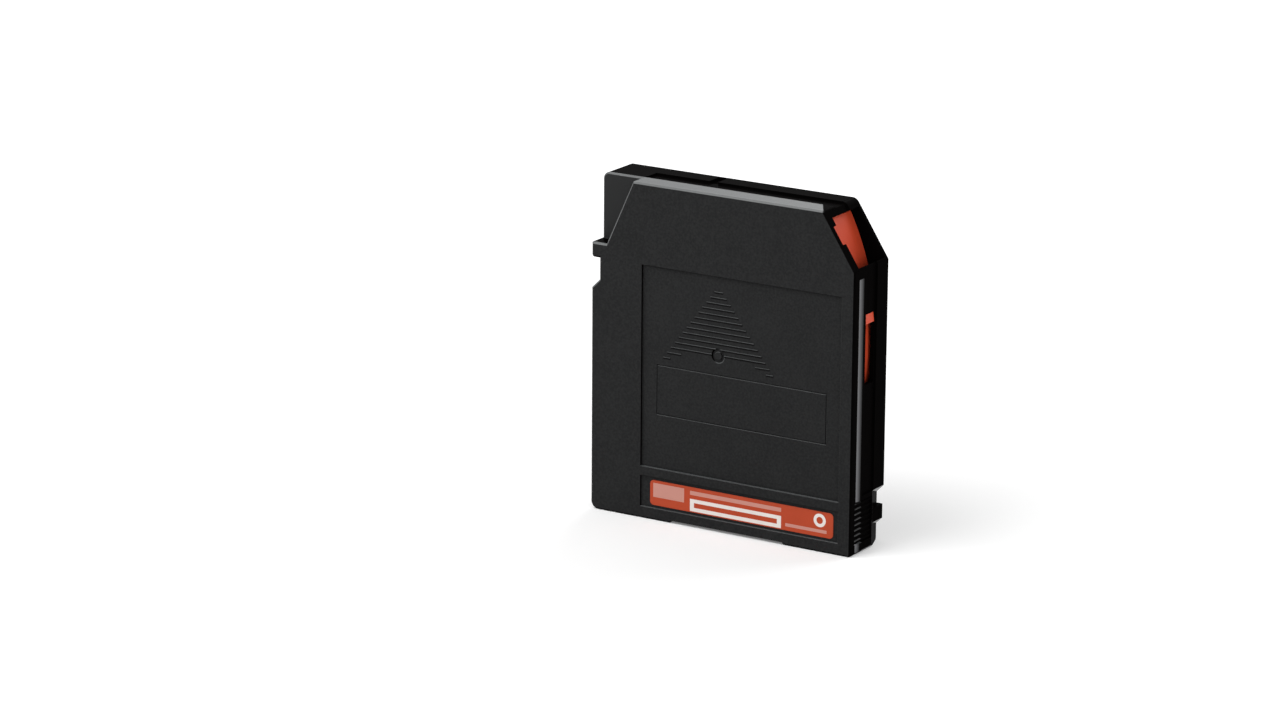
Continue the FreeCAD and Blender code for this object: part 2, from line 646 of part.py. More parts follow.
def guide_ribs(y0, y1):
    """Short straight ribs in pairs along the door's way, one each side of the door's edge."""
    low = DOOR_TAIL_DEG - DOOR_SWING_DEG
    step = (TOP_GUIDE_DEG - low) / (GUIDE_PAIRS - 1)
    inner = DOOR_R - DOOR_T - FIT
    outer = DOOR_R + FIT
    half = GUIDE_LENGTH / 2
    ribs = []
    for r0, r1 in ((inner - GUIDE_W, inner), (outer, outer + GUIDE_OUTER_W)):
        rib = block(DOOR_X + r0, DOOR_X + r1, y0, y1, DOOR_Z - half, DOOR_Z + half)
        for i in range(GUIDE_PAIRS):
            ribs.append(turned_y(rib, DOOR_X, DOOR_Z, -(low + step * i)))
    return ribs


def front_block():
    """Front shell before its inside is cut out, with the stepped corner and bevelled edges."""
    body = prism(case_outline(EDGE_R), FRONT_Y, SEAM_Y)
    step_y = FRONT_Y + STEP_DEPTH
    body = body.cut(prism(step_outline(0), FRONT_Y - OVERCUT, step_y))
    edges = edges_in_plane(body, FRONT_Y)
    reach = TOP_CORNER_R + JOIN
    for edge in edges_in_plane(body, step_y):
        if edge.BoundBox.ZMin > HEIGHT - reach or edge.BoundBox.XMax < LEFT_X + reach:
            edges.append(edge)
    return body.makeChamfer(FACE_EDGE, edges)


def front_fittings():
    """What stands on the inside of the front plate, trimmed to the room inside the walls."""
    foot_y = FRONT_IN_Y - JOIN
    parts = vane_guides(foot_y, BRAKE_TOP_Y - VANE_GUIDE_END_GAP)
    parts += guide_ribs(foot_y, FRONT_IN_Y + GUIDE_H)
    parts.append(pin_seat(foot_y, FRONT_IN_Y + PIN_SEAT_H))
    parts.append(leaf_holder(foot_y, FRONT_IN_Y + LEAF_W))
    for x, z in SCREWS:
        parts.append(square_post(x, z, BOSS_HALF, foot_y, BOSS_END_Y))
    room = prism(inner_outline(WALL - JOIN), foot_y - OVERCUT, SEAM_Y + 2 * OVERCUT)
    room = room.cut(prism(step_outline(0), FRONT_Y - OVERCUT, FRONT_Y + STEP_DEPTH + JOIN))
    return [part.common(room) for part in parts]


def upper_shell():
    step_y = FRONT_Y + STEP_DEPTH
    cavity = prism(inner_outline(WALL), FRONT_IN_Y, SEAM_Y + OVERCUT)
    cavity = cavity.cut(prism(step_outline(WALL), FRONT_Y - OVERCUT, SEAM_Y + 2 * OVERCUT))
    lining = prism(inner_outline(WALL + FIT), step_y, SEAM_Y + STEP_BACK)
    lining = lining.common(prism(step_outline(WALL), step_y - OVERCUT, SEAM_Y + OVERCUT))
    body = front_block().cut(cavity).multiFuse([lining] + front_fittings())
    s1 = CHAMFER_LENGTH - OPENING_FOOT
    rim_y = FRONT_IN_Y + OPENING_RIM
    relief_y = FRONT_IN_Y - RELIEF_DEPTH
    cutters = front_details()
    cutters.append(chamfer_cutter(OPENING_TOP, s1, 3 * WALL, rim_y, SEAM_Y + OVERCUT))
    cutters.append(chamfer_cutter(RELIEF_S0, RELIEF_S1, WALL, relief_y, SEAM_Y))
    cutters += [side_groove(), grip_pocket(), foot_relief()]
    hole_y = BOSS_END_Y - SCREW_BITE - SCREW_TIP_GAP
    for x, z in SCREWS:
        cutters.append(disc(x, z, SCREW_R + JOIN, hole_y, BOSS_END_Y + OVERCUT))
    body = body.cut(fuse_all(cutters))
    return body.multiFuse(arrow_ribs() + grip_ribs(GRIP_Y0, SEAM_Y)).removeSplitter()


def foot_relief():
    """Relief between the feet, with sloping ends."""
    return prism([
        (FOOT_STEP_X0, -OVERCUT),
        (FOOT_STEP_X1, -OVERCUT),
        (FOOT_STEP_X1, 0),
        (FOOT_STEP_X1 - FOOT_STEP / 2, FOOT_STEP),
        (FOOT_STEP_X0 + FOOT_STEP / 2, FOOT_STEP),
        (FOOT_STEP_X0, 0),
    ], FRONT_Y - OVERCUT, REAR_Y + OVERCUT)


# ---- rear shell ----------------------------------------------------------------------------
def channel_cutter():
    """Set-back band round the loading edge, the chamfer and the right wall."""
    band = prism(case_outline(0.0), SEAM_Y - OVERCUT, CHANNEL_END_Y)
    core = prism(inner_outline(CHANNEL_DEPTH), SEAM_Y - 2 * OVERCUT, CHANNEL_END_Y + OVERCUT)
    reach = block(STEP_TOP_X, RIGHT_X + OVERCUT, SEAM_Y - OVERCUT, CHANNEL_END_Y,
                  GRIP_Z1 + CHANNEL_FOOT, HEIGHT + OVERCUT)
    return band.cut(core).common(reach)


def flank_cutter():
    """Tapered rear flank at the lower right, leaving the small handling tab in it."""
    taper = Part.Face(Part.makePolygon([
        V(RIGHT_X, FLANK_START_Y, -OVERCUT),
        V(RIGHT_X - FLANK_TAPER, REAR_Y, -OVERCUT),
        V(RIGHT_X - FLANK_TAPER, REAR_Y + OVERCUT, -OVERCUT),
        V(RIGHT_X + OVERCUT, REAR_Y + OVERCUT, -OVERCUT),
        V(RIGHT_X + OVERCUT, FLANK_START_Y, -OVERCUT),
        V(RIGHT_X, FLANK_START_Y, -OVERCUT),
    ])).extrude(V(0, 0, HEIGHT))
    slope = FLANK_NOTCH_TOP - FLANK_TAPER
    floor = RIGHT_X - FLANK_TAPER
    reach = prism([
        (floor - OVERCUT, -OVERCUT),
        (RIGHT_X + OVERCUT, -OVERCUT),
        (RIGHT_X + OVERCUT, FLANK_NOTCH_TOP + OVERCUT),
        (floor, slope),
        (floor - OVERCUT, slope),
    ], FLANK_START_Y - OVERCUT, REAR_Y + OVERCUT)
    tab_x = RIGHT_X - FLANK_TAB_IN
    tab = prism([
        (floor - WALL, FLANK_TAB_BOTTOM - (tab_x - floor) - WALL),
        (tab_x, FLANK_TAB_BOTTOM),
        (tab_x, FLANK_TAB_TOP),
        (floor - WALL, FLANK_TAB_TOP),
    ], CHANNEL_END_Y + FLANK_TAB_GAP, REAR_Y + OVERCUT)
    return taper.common(reach).cut(tab)


def flank_lining():
    """Thicker wall behind the tapered flank."""
    floor = RIGHT_X - FLANK_TAPER
    profile = Part.Face(Part.makePolygon([
        V(RIGHT_X - WALL + JOIN, FLANK_START_Y - WALL, WALL - JOIN),
        V(floor - WALL, REAR_IN_Y - FLANK_TAPER, WALL - JOIN),
        V(floor - WALL, REAR_IN_Y + JOIN, WALL - JOIN),
        V(RIGHT_X - WALL + JOIN, REAR_IN_Y + JOIN, WALL - JOIN),
        V(RIGHT_X - WALL + JOIN, FLANK_START_Y - WALL, WALL - JOIN),
    ]))
    return profile.extrude(V(0, 0, FLANK_NOTCH_TOP + WALL))


def side_slot():
    """Slot in the right wall that the door's tab runs in."""
    outer = DOOR_R + DOOR_TAB_STAND
    top = DOOR_Z + outer * math.sin(math.radians(DOOR_TAB_DEG1)) + FIT
    low = DOOR_Z + outer * math.sin(math.radians(DOOR_TAB_DEG0 - DOOR_SWING_DEG)) - FIT
    return block(RIGHT_X - 2 * WALL, RIGHT_X + OVERCUT, SEAM_Y - OVERCUT, SLOT_Y1, low, top)


def spring_post():
    """Post that carries the door spring's lower end, with its peg."""
    half = DOOR_SPRING_R + 2 * DOOR_SPRING_WIRE
    post = block(SPRING_SEAT_X - half, SPRING_SEAT_X + half, -half, REAR_IN_Y + JOIN,
                 SPRING_SEAT_Z - SPRING_POST_H, SPRING_SEAT_Z)
    peg = block(SPRING_SEAT_X - SPRING_PEG_HALF, SPRING_SEAT_X + SPRING_PEG_HALF,
                -SPRING_PEG_HALF, SPRING_PEG_HALF, SPRING_SEAT_Z - JOIN, SPRING_SEAT_Z + SPRING_PEG_H)
    return [post, peg]


def switch_rails():
    """Two rails and a keeper above the write-protect slider, inside the rear edge's wall."""
    x0 = SWITCH_X - SWITCH_LENGTH / 2 - FIT
    x1 = SWITCH_X + SWITCH_LENGTH / 2 + SWITCH_TRAVEL + FIT
    y0 = SWITCH_Y - SWITCH_W / 2 - FIT
    z0 = WALL - JOIN
    z1 = WALL + SEAT_GAP + SWITCH_T + SEAT_GAP
    keeper = block(x0, x1, y0 - RAIL_T, REAR_IN_Y + JOIN, z1, z1 + RAIL_T)
    rail = block(x0, x1, y0 - RAIL_T, y0, z0, z1 + JOIN)
    rear_y = SWITCH_Y + SWITCH_W / 2 + FIT
    rear_rail = block(x0, x1, rear_y, REAR_IN_Y + JOIN, z0, z1 + JOIN)
    return [keeper, rail, rear_rail]


def switch_window():
    x0 = SWITCH_X - NUB_LENGTH / 2 - FIT
    x1 = SWITCH_X + NUB_LENGTH / 2 + SWITCH_TRAVEL + FIT
    half = NUB_W / 2 + FIT
    return block(x0, x1, SWITCH_Y - half, SWITCH_Y + half, -OVERCUT, WALL + JOIN)


def memory_frame():
    """Unit vectors along the memory board and square to it, in (x, z)."""
    share = math.sqrt(0.5)
    return (share, share), (-share, share)


def memory_cheeks():
    """Two grooved cheeks of the rear shell that hold the board's ends."""
    along, square = memory_frame()
    cheeks = []
    for end in (-MEMORY_LENGTH / 2, MEMORY_LENGTH / 2):
        corners = []
        for u, w in ((-1, -1), (1, -1), (1, 1), (-1, 1)):
            run = end + u * MEMORY_CHEEK
            corners.append((MEMORY_X + along[0] * run + square[0] * w * MEMORY_CHEEK,
                            MEMORY_Z + along[1] * run + square[1] * w * MEMORY_CHEEK))
        cheeks.append(prism(corners, MEMORY_CHEEK_Y, REAR_IN_Y + JOIN))
    return cheeks


def memory_block(half_length, half_t, y0, y1, lift=0.0):
    """Block on the memory board's own axes; lift moves it square to the board."""
    along, square = memory_frame()

    def at(u, w):
        return (MEMORY_X + along[0] * u + square[0] * w, MEMORY_Z + along[1] * u + square[1] * w)

    return prism([at(-half_length, lift - half_t), at(half_length, lift - half_t),
                  at(half_length, lift + half_t), at(-half_length, lift + half_t)], y0, y1)


def rear_fittings():
    """What stands on the inside of the rear plate, trimmed to the room inside the walls."""
    foot_y = REAR_IN_Y + JOIN
    parts = [
        pin_seat(REAR_IN_Y - PIN_SEAT_H, foot_y),
        leaf_holder(REAR_IN_Y - LEAF_W, foot_y),
        flank_lining(),
    ]
    seat_pad = block(REEL_X + SEAT_PAD_R0, REEL_X + SEAT_PAD_R1, SEAT_Y, foot_y,
                     REEL_Z - SEAT_PAD_W / 2, REEL_Z + SEAT_PAD_W / 2)
    parts += round_the_reel(seat_pad, SEAT_PADS)
    parts += guide_ribs(REAR_IN_Y - GUIDE_H, foot_y)
    parts += spring_post() + switch_rails() + memory_cheeks()
    for x, z in SCREWS:
        parts.append(square_post(x, z, BOSS_HALF, BOSS_END_Y, foot_y))
    for x, z in DATUM_HOLES:
        parts.append(square_post(x, z, DATUM_BOSS_HALF, REAR_Y - DATUM_DEPTH - DATUM_TIP, foot_y))
    room = prism(inner_outline(WALL - JOIN), SEAM_Y - OVERCUT, REAR_IN_Y + OVERCUT)
    return [part.common(room) for part in parts]


def rear_cutters():
    """Openings, holes and reliefs of the rear shell."""
    s1 = CHAMFER_LENGTH - OPENING_FOOT
    cutters = [
        channel_cutter(),
        flank_cutter(),
        side_slot(),
        switch_window(),
        foot_relief(),
        grip_pocket(),
        disc(REEL_X, REEL_Z, SPINDLE_HOLE_R, SEAM_Y, REAR_Y + OVERCUT),
        chamfer_cutter(OPENING_TOP, s1, 3 * WALL, SEAM_Y - OVERCUT, REAR_IN_Y),
        memory_block(MEMORY_LENGTH / 2 + JOIN, MEMORY_T / 2 + JOIN, MEMORY_Y0 - OVERCUT, REAR_IN_Y),
        block(RIM_NOTCH_X - RIM_NOTCH_W / 2, RIM_NOTCH_X + RIM_NOTCH_W / 2, CHANNEL_END_Y - JOIN,
              REAR_Y + OVERCUT, HEIGHT - RIM_NOTCH_DEPTH, HEIGHT + OVERCUT),
    ]
    for x, z in SCREWS:
        mouth = SCREW_HEAD_R + SCREW_HEAD_SINK + JOIN
        cutters.append(countersunk(x, z, mouth, SCREW_R + JOIN, REAR_Y, SEAM_Y))
    for x, z in DATUM_HOLES:
        cutters.append(disc(x, z, DATUM_R, REAR_Y - DATUM_DEPTH, REAR_Y + OVERCUT))
    return cutters


def lower_shell():
    body = prism(case_outline(CHAMFER_REAR_R), SEAM_Y, REAR_Y)
    body = body.makeChamfer(FACE_EDGE, edges_in_plane(body, REAR_Y))
    body = body.cut(prism(inner_outline(WALL), SEAM_Y - OVERCUT, REAR_IN_Y))
    body = body.multiFuse(rear_fittings()).cut(fuse_all(rear_cutters()))
    return body.multiFuse(grip_ribs(SEAM_Y, GRIP_Y1)).removeSplitter()


# ---- door and its spring -------------------------------------------------------------------
def door():
    reach = REAR_IN_Y - FIT
    plate = arc_bar(DOOR_R - DOOR_T, DOOR_R, DOOR_TAIL_DEG, DOOR_TOP_DEG, FRONT_IN_Y + FIT, reach)
    tab = arc_bar(DOOR_R - JOIN, DOOR_R + DOOR_TAB_STAND, DOOR_TAB_DEG0, DOOR_TAB_DEG1,
                  DOOR_TAB_Y0, DOOR_TAB_Y1)
    inner = DOOR_R - DOOR_T
    foot = arc_bar(inner - DOOR_FOOT_IN, inner + JOIN, DOOR_TAIL_DEG, DOOR_TAIL_DEG + DOOR_FOOT_DEG,
                   -DOOR_FOOT_HALF_Y, DOOR_FOOT_HALF_Y)
    return plate.multiFuse([tab, foot]).removeSplitter()


def coil(radius, wire, turns, length):
    """Compression spring along +Z from the origin, of square wire laid in short straight lengths."""
    steps = turns * COIL_STEPS
    half = wire / 2
    rise = (length - wire) / steps
    rings = []
    for i in range(steps + 1):
        angle = 2 * math.pi * i / COIL_STEPS
        z = half + rise * i
        ring = []
        for out, up in ((-half, -half), (half, -half), (half, half), (-half, half)):
            reach = radius + out
            ring.append(V(reach * math.cos(angle), reach * math.sin(angle), z + up))
        rings.append(ring)
    faces = [facet(rings[0]), facet(rings[-1])]
    for near, far in zip(rings, rings[1:]):
        for i in range(4):
            j = (i + 1) % 4
            faces.append(facet([near[i], near[j], far[j]]))
            faces.append(facet([near[i], far[j], far[i]]))
    return Part.makeSolid(Part.makeShell(faces))


def facet(corners):
    return Part.Face(Part.makePolygon(corners + corners[:1]))


def door_spring():
    tail = math.radians(DOOR_TAIL_DEG)
    radius = DOOR_R - (DOOR_T + DOOR_FOOT_IN) / 2
    top = V(DOOR_X + radius * math.cos(tail), 0, DOOR_Z + radius * math.sin(tail))
    foot = V(SPRING_SEAT_X, 0, SPRING_SEAT_Z)
    line = top - foot
    spring = coil(DOOR_SPRING_R, DOOR_SPRING_WIRE, DOOR_SPRING_TURNS, line.Length - 2 * SEAT_GAP)
    spring.translate(V(0, 0, SEAT_GAP))
    spring.rotate(V(0, 0, 0), Y_AXIS, math.degrees(math.atan2(line.x, line.z)))
    spring.translate(foot)
    return spring


# ---- reel ----------------------------------------------------------------------------------
def reel_hub():
    """Hub, rear flange, drive teeth and brake teeth in one moulding."""
    flange = disc(REEL_X, REEL_Z, FLANGE_R, FLANGE_IN_Y, FLANGE_REAR_Y)
    body = flange.fuse(disc(REEL_X, REEL_Z, HUB_R, FRONT_FLANGE_IN_Y, FLANGE_REAR_Y))
    out_y = FRONT_FLANGE_IN_Y - OVERCUT
    body = body.cut(disc(REEL_X, REEL_Z, HUB_R - HUB_WALL, out_y, RING_TOOTH_ROOT_Y))
    body = body.cut(square_post(REEL_X, REEL_Z, PAD_FLANGE_HALF + FIT, out_y, HUB_FLOOR_Y))
    body = body.cut(disc(REEL_X, REEL_Z, CHUCK_R0, out_y, REAR_Y))
    drive = teeth(DRIVE_TEETH, DRIVE_TOOTH_R0, DRIVE_TOOTH_R1, FLANGE_REAR_Y, DRIVE_TOOTH_H,
                  (DRIVE_TOOTH_ROOT, DRIVE_TOOTH_TIP), 0.0)
    brake = teeth(BRAKE_TEETH, BRAKE_RING_R0, BRAKE_RING_R1, RING_TOOTH_ROOT_Y, -BRAKE_TOOTH_H,
                  (BRAKE_TOOTH_ROOT, BRAKE_TOOTH_TIP), 0.0)
    return body.multiFuse(drive + brake).removeSplitter()


def reel_front_flange():
    return tube(REEL_X, REEL_Z, FLANGE_BORE_R, FLANGE_R, FRONT_FLANGE_OUT_Y, FRONT_FLANGE_IN_Y)


def leader_line():
    """Where the tape leaves the pack, and its unit direction to the pin."""
    dx = PIN_X - REEL_X
    dz = PIN_Z - REEL_Z
    angle = math.atan2(dz, dx) + math.acos(TAPE_R / math.hypot(dx, dz))
    touch = (REEL_X + TAPE_R * math.cos(angle), REEL_Z + TAPE_R * math.sin(angle))
    return touch, (math.sin(angle), -math.cos(angle))


def tape_strip(run0, run1):
    """Flat strip of tape on the line to the pin, between two distances from the pack."""
    touch, along = leader_line()
    inward = (-along[1] * LEADER_T, along[0] * LEADER_T)
    y0 = FRONT_FLANGE_IN_Y + TAPE_PLAY
    corners = []
    for run, depth in ((run0, 0), (run1, 0), (run1, 1), (run0, 1)):
        corners.append((touch[0] + along[0] * run - inward[0] * depth,
                        touch[1] + along[1] * run - inward[1] * depth))
    return prism(corners, y0, y0 + TAPE_WIDTH)


def flange_exit(depth):
    """Distance along the leader at which a depth into its thickness passes the flanges' edge."""
    return math.sqrt(FLANGE_R ** 2 - (TAPE_R - depth) ** 2)


def tape_pack():
    """Wound tape, with the short stretch that leaves it between the flanges."""
    y0 = FRONT_FLANGE_IN_Y + TAPE_PLAY
    pack = tube(REEL_X, REEL_Z, HUB_R + JOIN, TAPE_R, y0, y0 + TAPE_WIDTH)
    return pack.fuse(tape_strip(0, flange_exit(0) - FIT)).removeSplitter()


def chuck_plate():
    return tube(REEL_X, REEL_Z, CHUCK_R0 + JOIN, CHUCK_R1, FLANGE_REAR_Y, CHUCK_REAR_Y)


# ---- brake ---------------------------------------------------------------------------------
def brake_button():
    """Brake disc with its teeth, four guide vanes and a square post inside the spring."""
    body = disc(REEL_X, REEL_Z, BRAKE_RING_R1 + JOIN, BRAKE_TOP_Y, BRAKE_FACE_Y)
    post = square_post(REEL_X, REEL_Z, BRAKE_POST_HALF, BRAKE_TOP_Y - BRAKE_POST_H, BRAKE_TOP_Y + JOIN)
    vane = block(REEL_X + VANE_R0, REEL_X + VANE_R1, BRAKE_TOP_Y - VANE_H, BRAKE_TOP_Y + JOIN,
                 REEL_Z - VANE_W / 2, REEL_Z + VANE_W / 2)
    lock = teeth(BRAKE_TEETH, BRAKE_RING_R0, BRAKE_RING_R1, BRAKE_FACE_Y, BRAKE_TOOTH_H,
                 (BRAKE_TOOTH_ROOT, BRAKE_TOOTH_TIP), 0.5)
    return body.multiFuse([post] + round_the_reel(vane, VANES) + lock).removeSplitter()


def brake_spring():
    length = BRAKE_TOP_Y - FRONT_IN_Y - 2 * JOIN
    spring = coil(BRAKE_SPRING_R, BRAKE_SPRING_WIRE, BRAKE_SPRING_TURNS, length)
    spring.rotate(V(0, 0, 0), V(1, 0, 0), -90)
    spring.translate(V(REEL_X, FRONT_IN_Y + JOIN, REEL_Z))
    return spring


def release_pad():
    """Pad that the spindle pushes, with a square flange inside the hub's pocket."""
    pad = disc(REEL_X, REEL_Z, PAD_R, PAD_FLANGE_Y - JOIN, CHUCK_REAR_Y + PAD_STAND_OUT)
    flange = square_post(REEL_X, REEL_Z, PAD_FLANGE_HALF, PAD_TOP_Y, PAD_FLANGE_Y)
    return pad.fuse(flange).removeSplitter()


# ---- leader pin, clip, tape and springs ----------------------------------------------------
def leader_pin():
    """Steel pin with a head at each end, which the seats hold."""
    end0 = FRONT_IN_Y + SEAT_GAP
    end1 = REAR_IN_Y - SEAT_GAP
    return fuse_all([
        disc(PIN_X, PIN_Z, PIN_R, end0, end1),
        disc(PIN_X, PIN_Z, PIN_HEAD_R, end0, end0 + PIN_HEAD_T),
        disc(PIN_X, PIN_Z, PIN_HEAD_R, end1 - PIN_HEAD_T, end1),
    ]).removeSplitter()


def leader_clip():
    """C-shaped clip that clamps the end of the tape on the pin."""
    y0 = FRONT_FLANGE_IN_Y + TAPE_PLAY + JOIN
    y1 = y0 + TAPE_WIDTH - 2 * JOIN
    ring = tube(PIN_X, PIN_Z, PIN_R + JOIN, CLIP_R, y0, y1)
    middle = math.atan2(CHAMFER_OUT[1], CHAMFER_OUT[0])
    half = math.radians(CLIP_GAP_DEG / 2)
    reach = 2 * CLIP_R
    rays = [(PIN_X, PIN_Z)]
    for angle in (middle - half, middle + half):
        rays.append((PIN_X + reach * math.cos(angle), PIN_Z + reach * math.sin(angle)))
    return ring.cut(prism(rays, y0 - OVERCUT, y1 + OVERCUT))


def leader_tape():
    """Straight free length of tape, from the flanges' edge to the clip."""
    reach = math.hypot(PIN_X - REEL_X, PIN_Z - REEL_Z)
    length = math.sqrt(reach ** 2 - TAPE_R ** 2)
    return tape_strip(flange_exit(LEADER_T) + FIT, length - CLIP_R)


def pin_spring(y0, y1):
    """Leaf spring beside the seat: held at its root, and bent over in front of the pin's head."""
    side = -(PIN_SEAT_R1 + JOIN)
    tip = PIN_HEAD_R + 2 * JOIN
    outline = [
        (side, -LEAF_ROOT, 0),
        (side - LEAF_T, -LEAF_ROOT, 0),
        (side - LEAF_T, tip + LEAF_T, LEAF_BEND_R),
        (-LEAF_TIP, tip + LEAF_T, 0),
        (-LEAF_TIP, tip, 0),
        (side, tip, LEAF_BEND_R - LEAF_T),
    ]
    return prism([pin_point(u, w) + (radius,) for u, w, radius in outline], y0, y1)


# ---- rear edge -----------------------------------------------------------------------------
def write_protect_switch():
    z0 = WALL + SEAT_GAP
    half = SWITCH_LENGTH / 2
    body = block(SWITCH_X - half, SWITCH_X + half, SWITCH_Y - SWITCH_W / 2, SWITCH_Y + SWITCH_W / 2,
                 z0, z0 + SWITCH_T)
    nub = block(SWITCH_X - NUB_LENGTH / 2, SWITCH_X + NUB_LENGTH / 2, SWITCH_Y - NUB_W / 2,
                SWITCH_Y + NUB_W / 2, NUB_RECESS, z0 + JOIN)
    pitch = NUB_LENGTH / (NUB_GROOVES + 0.6)
    grooves = []
    for i in range(NUB_GROOVES):
        x = SWITCH_X + (i - (NUB_GROOVES - 1) / 2) * pitch
        grooves.append(block(x - NUB_GROOVE / 2, x + NUB_GROOVE / 2, SWITCH_Y - NUB_W,
                             SWITCH_Y + NUB_W, NUB_RECESS - OVERCUT, NUB_RECESS + NUB_GROOVE))
    return body.fuse(nub).cut(fuse_all(grooves)).removeSplitter()


def memory_board():
    return memory_block(MEMORY_LENGTH / 2, MEMORY_T / 2, MEMORY_Y0, MEMORY_Y1)


def memory_chip():
    middle = (MEMORY_Y0 + MEMORY_Y1) / 2
    return memory_block(CHIP_SIDE / 2, CHIP_T / 2, middle - CHIP_SIDE / 2, middle + CHIP_SIDE / 2,
                        MEMORY_T / 2 + CHIP_T / 2)


# ---- screws and label ----------------------------------------------------------------------
def countersunk(x, z, head_r, shank_r, top_y, end_y):
    """Countersunk head and plain shank, run together."""
    neck_y = top_y - (head_r - shank_r)
    head = Part.makeCone(shank_r, head_r, top_y - neck_y, V(x, neck_y, z), Y_AXIS)
    return head.fuse(disc(x, z, shank_r, end_y, neck_y))


def case_screw(x, z):
    """Countersunk screw with a six-sided socket."""
    body = countersunk(x, z, SCREW_HEAD_R, SCREW_R, SCREW_TOP_Y, BOSS_END_Y - SCREW_BITE)
    corners = []
    for i in range(6):
        angle = math.radians(60 * i)
        corners.append((x + SCREW_SOCKET * math.cos(angle), z + SCREW_SOCKET * math.sin(angle)))
    return body.cut(prism(corners, SCREW_TOP_Y - SCREW_SOCKET_DEPTH, REAR_Y)).removeSplitter()


def case_screws():
    return Part.makeCompound([case_screw(x, z) for x, z in SCREWS])


def front_label():
    rear = FRONT_Y + LABEL_PANEL_DEPTH
    corners = rectangle(LABEL_X0, LABEL_X1, LABEL_Z0, LABEL_Z1, LABEL_CORNER_R)
    return prism(corners, rear - LABEL_THICKNESS, rear)


PIECES = {
    "upper_shell": upper_shell,
    "lower_shell": lower_shell,
    "door": door,
    "door_spring": door_spring,
    "write_protect_switch": write_protect_switch,
    "reel_hub": reel_hub,
    "reel_front_flange": reel_front_flange,
    "tape_pack": tape_pack,
    "chuck_plate": chuck_plate,
    "brake_button": brake_button,
    "brake_spring": brake_spring,
    "release_pad": release_pad,
    "leader_pin": leader_pin,
    "leader_clip": leader_clip,
    "leader_tape": leader_tape,
    "pin_spring_front": lambda: pin_spring(FRONT_IN_Y + JOIN, FRONT_IN_Y + LEAF_W),
    "pin_spring_rear": lambda: pin_spring(REAR_IN_Y - LEAF_W, REAR_IN_Y - JOIN),
    "memory_board": memory_board,
    "memory_chip": memory_chip,
    "case_screws": case_screws,
    "front_label": front_label,
}


def main():
    os.makedirs("parts", exist_ok=True)
    for name, make in PIECES.items():
        shape = make()
        solids = shape.Solids
        whole = solids[0] if len(solids) == 1 else Part.makeCompound(solids)
        whole.exportStep(f"parts/{name}.step")
        box = whole.BoundBox
        print(f"{name}: {len(solids)} solid, valid {whole.isValid()}, volume {whole.Volume:.1f}, "
              f"x {box.XMin:.2f}..{box.XMax:.2f} y {box.YMin:.2f}..{box.YMax:.2f} "
              f"z {box.ZMin:.2f}..{box.ZMax:.2f}")


main()
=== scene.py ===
"""Looks of the data tape cartridge: finishes, label fields, the rim notch's rear wall, studio."""
import math

import bmesh
import bpy
from mathutils import Matrix, Vector


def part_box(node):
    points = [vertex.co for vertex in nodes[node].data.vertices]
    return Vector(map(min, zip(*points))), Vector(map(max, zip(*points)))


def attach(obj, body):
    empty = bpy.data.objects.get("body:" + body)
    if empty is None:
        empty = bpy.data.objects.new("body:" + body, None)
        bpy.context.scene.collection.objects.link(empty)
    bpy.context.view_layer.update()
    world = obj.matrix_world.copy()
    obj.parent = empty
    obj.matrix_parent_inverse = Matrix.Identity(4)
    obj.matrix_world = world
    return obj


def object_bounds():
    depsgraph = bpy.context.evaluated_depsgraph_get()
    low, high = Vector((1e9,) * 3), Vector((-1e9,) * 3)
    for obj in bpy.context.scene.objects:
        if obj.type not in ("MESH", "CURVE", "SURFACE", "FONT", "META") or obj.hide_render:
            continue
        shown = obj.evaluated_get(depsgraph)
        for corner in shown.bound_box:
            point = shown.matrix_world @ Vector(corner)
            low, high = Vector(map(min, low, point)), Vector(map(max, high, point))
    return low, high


MM = 0.001

# ---- colours of the case, linear -----------------------------------------------------------
FRONT_DARK = (0.0136, 0.0139, 0.0143)
FRONT_LIGHT = (0.0204, 0.0207, 0.0210)
# painted highlight on upper faces and on edges that lean up and left
FRONT_HIGHLIGHT = (0.055, 0.060, 0.061)
RECESS_LIGHT = (0.0240, 0.0244, 0.0248)
# painted shade: the front half's right flank, down-facing edges and dimple wall, and the rear half's
# upper, right and inner faces
PAINTED_SHADE_BLACK = (0.0020, 0.0017, 0.0017)
# painted highlight line along the handling groove
GROOVE_HIGHLIGHT = (0.110, 0.110, 0.118)
REAR_DARK = (0.0028, 0.0024, 0.0024)
REAR_LIGHT = (0.0050, 0.0042, 0.0042)

# ---- gloss and roughness; a pair holds the least and the most ------------------------------
FACE_GLOSS = 0.05
HIGHLIGHT_GLOSS = (0.75, 0.85)  # gloss of the painted highlight; grows towards the door, between the places HIGHLIGHT_GLOSS_X
FLANK_GLOSS = 0.0006
GROOVE_GLOSS = 0.8
REAR_GLOSS = 0.22
RED_GLOSS = 0.15
PLAIN_GLOSS = 0.4
FACE_ROUGH = (0.42, 0.56)
FLANK_ROUGH = 0.24
REAR_ROUGH = (0.16, 0.30)
DOOR_ROUGH = (0.34, 0.44)
LABEL_ROUGH = (0.42, 0.52)
FLOOR_ROUGH = 0.9
PLASTIC_ROUGH_STEP = 0.05    # a plain plastic's roughness goes this far down and up
METAL_ROUGH_STEPS = (0.07, 0.08)     # a metal's goes this far down, and this far up
NOISE_MIDDLE = (0.3, 0.7)    # the part of a noise over which a roughness changes
MOTTLE_FINE = 0.8            # share of the fine noise in the front face's mottling
MOTTLE_MIDDLE = (0.38, 0.62)
STREAK_SCALE = (1, 0.08, 1)  # draws a noise out along Y

# ---- directions, and the cosines between which a mask of them grows to 1 -------------------
RIGHT = (1.0, 0.0, 0.0)
LEFT = (-1.0, 0.0, 0.0)
UP = (0.0, 0.0, 1.0)
FORWARD = (0.0, -1.0, 0.0)
UP_OR_RIGHT = (0.707, 0.0, 0.707)
LEANING = (0.45, 0.60)
RIGHT_FLANK = (0.3, 0.6)
LEFT_FLANK = (0.93, 0.98)
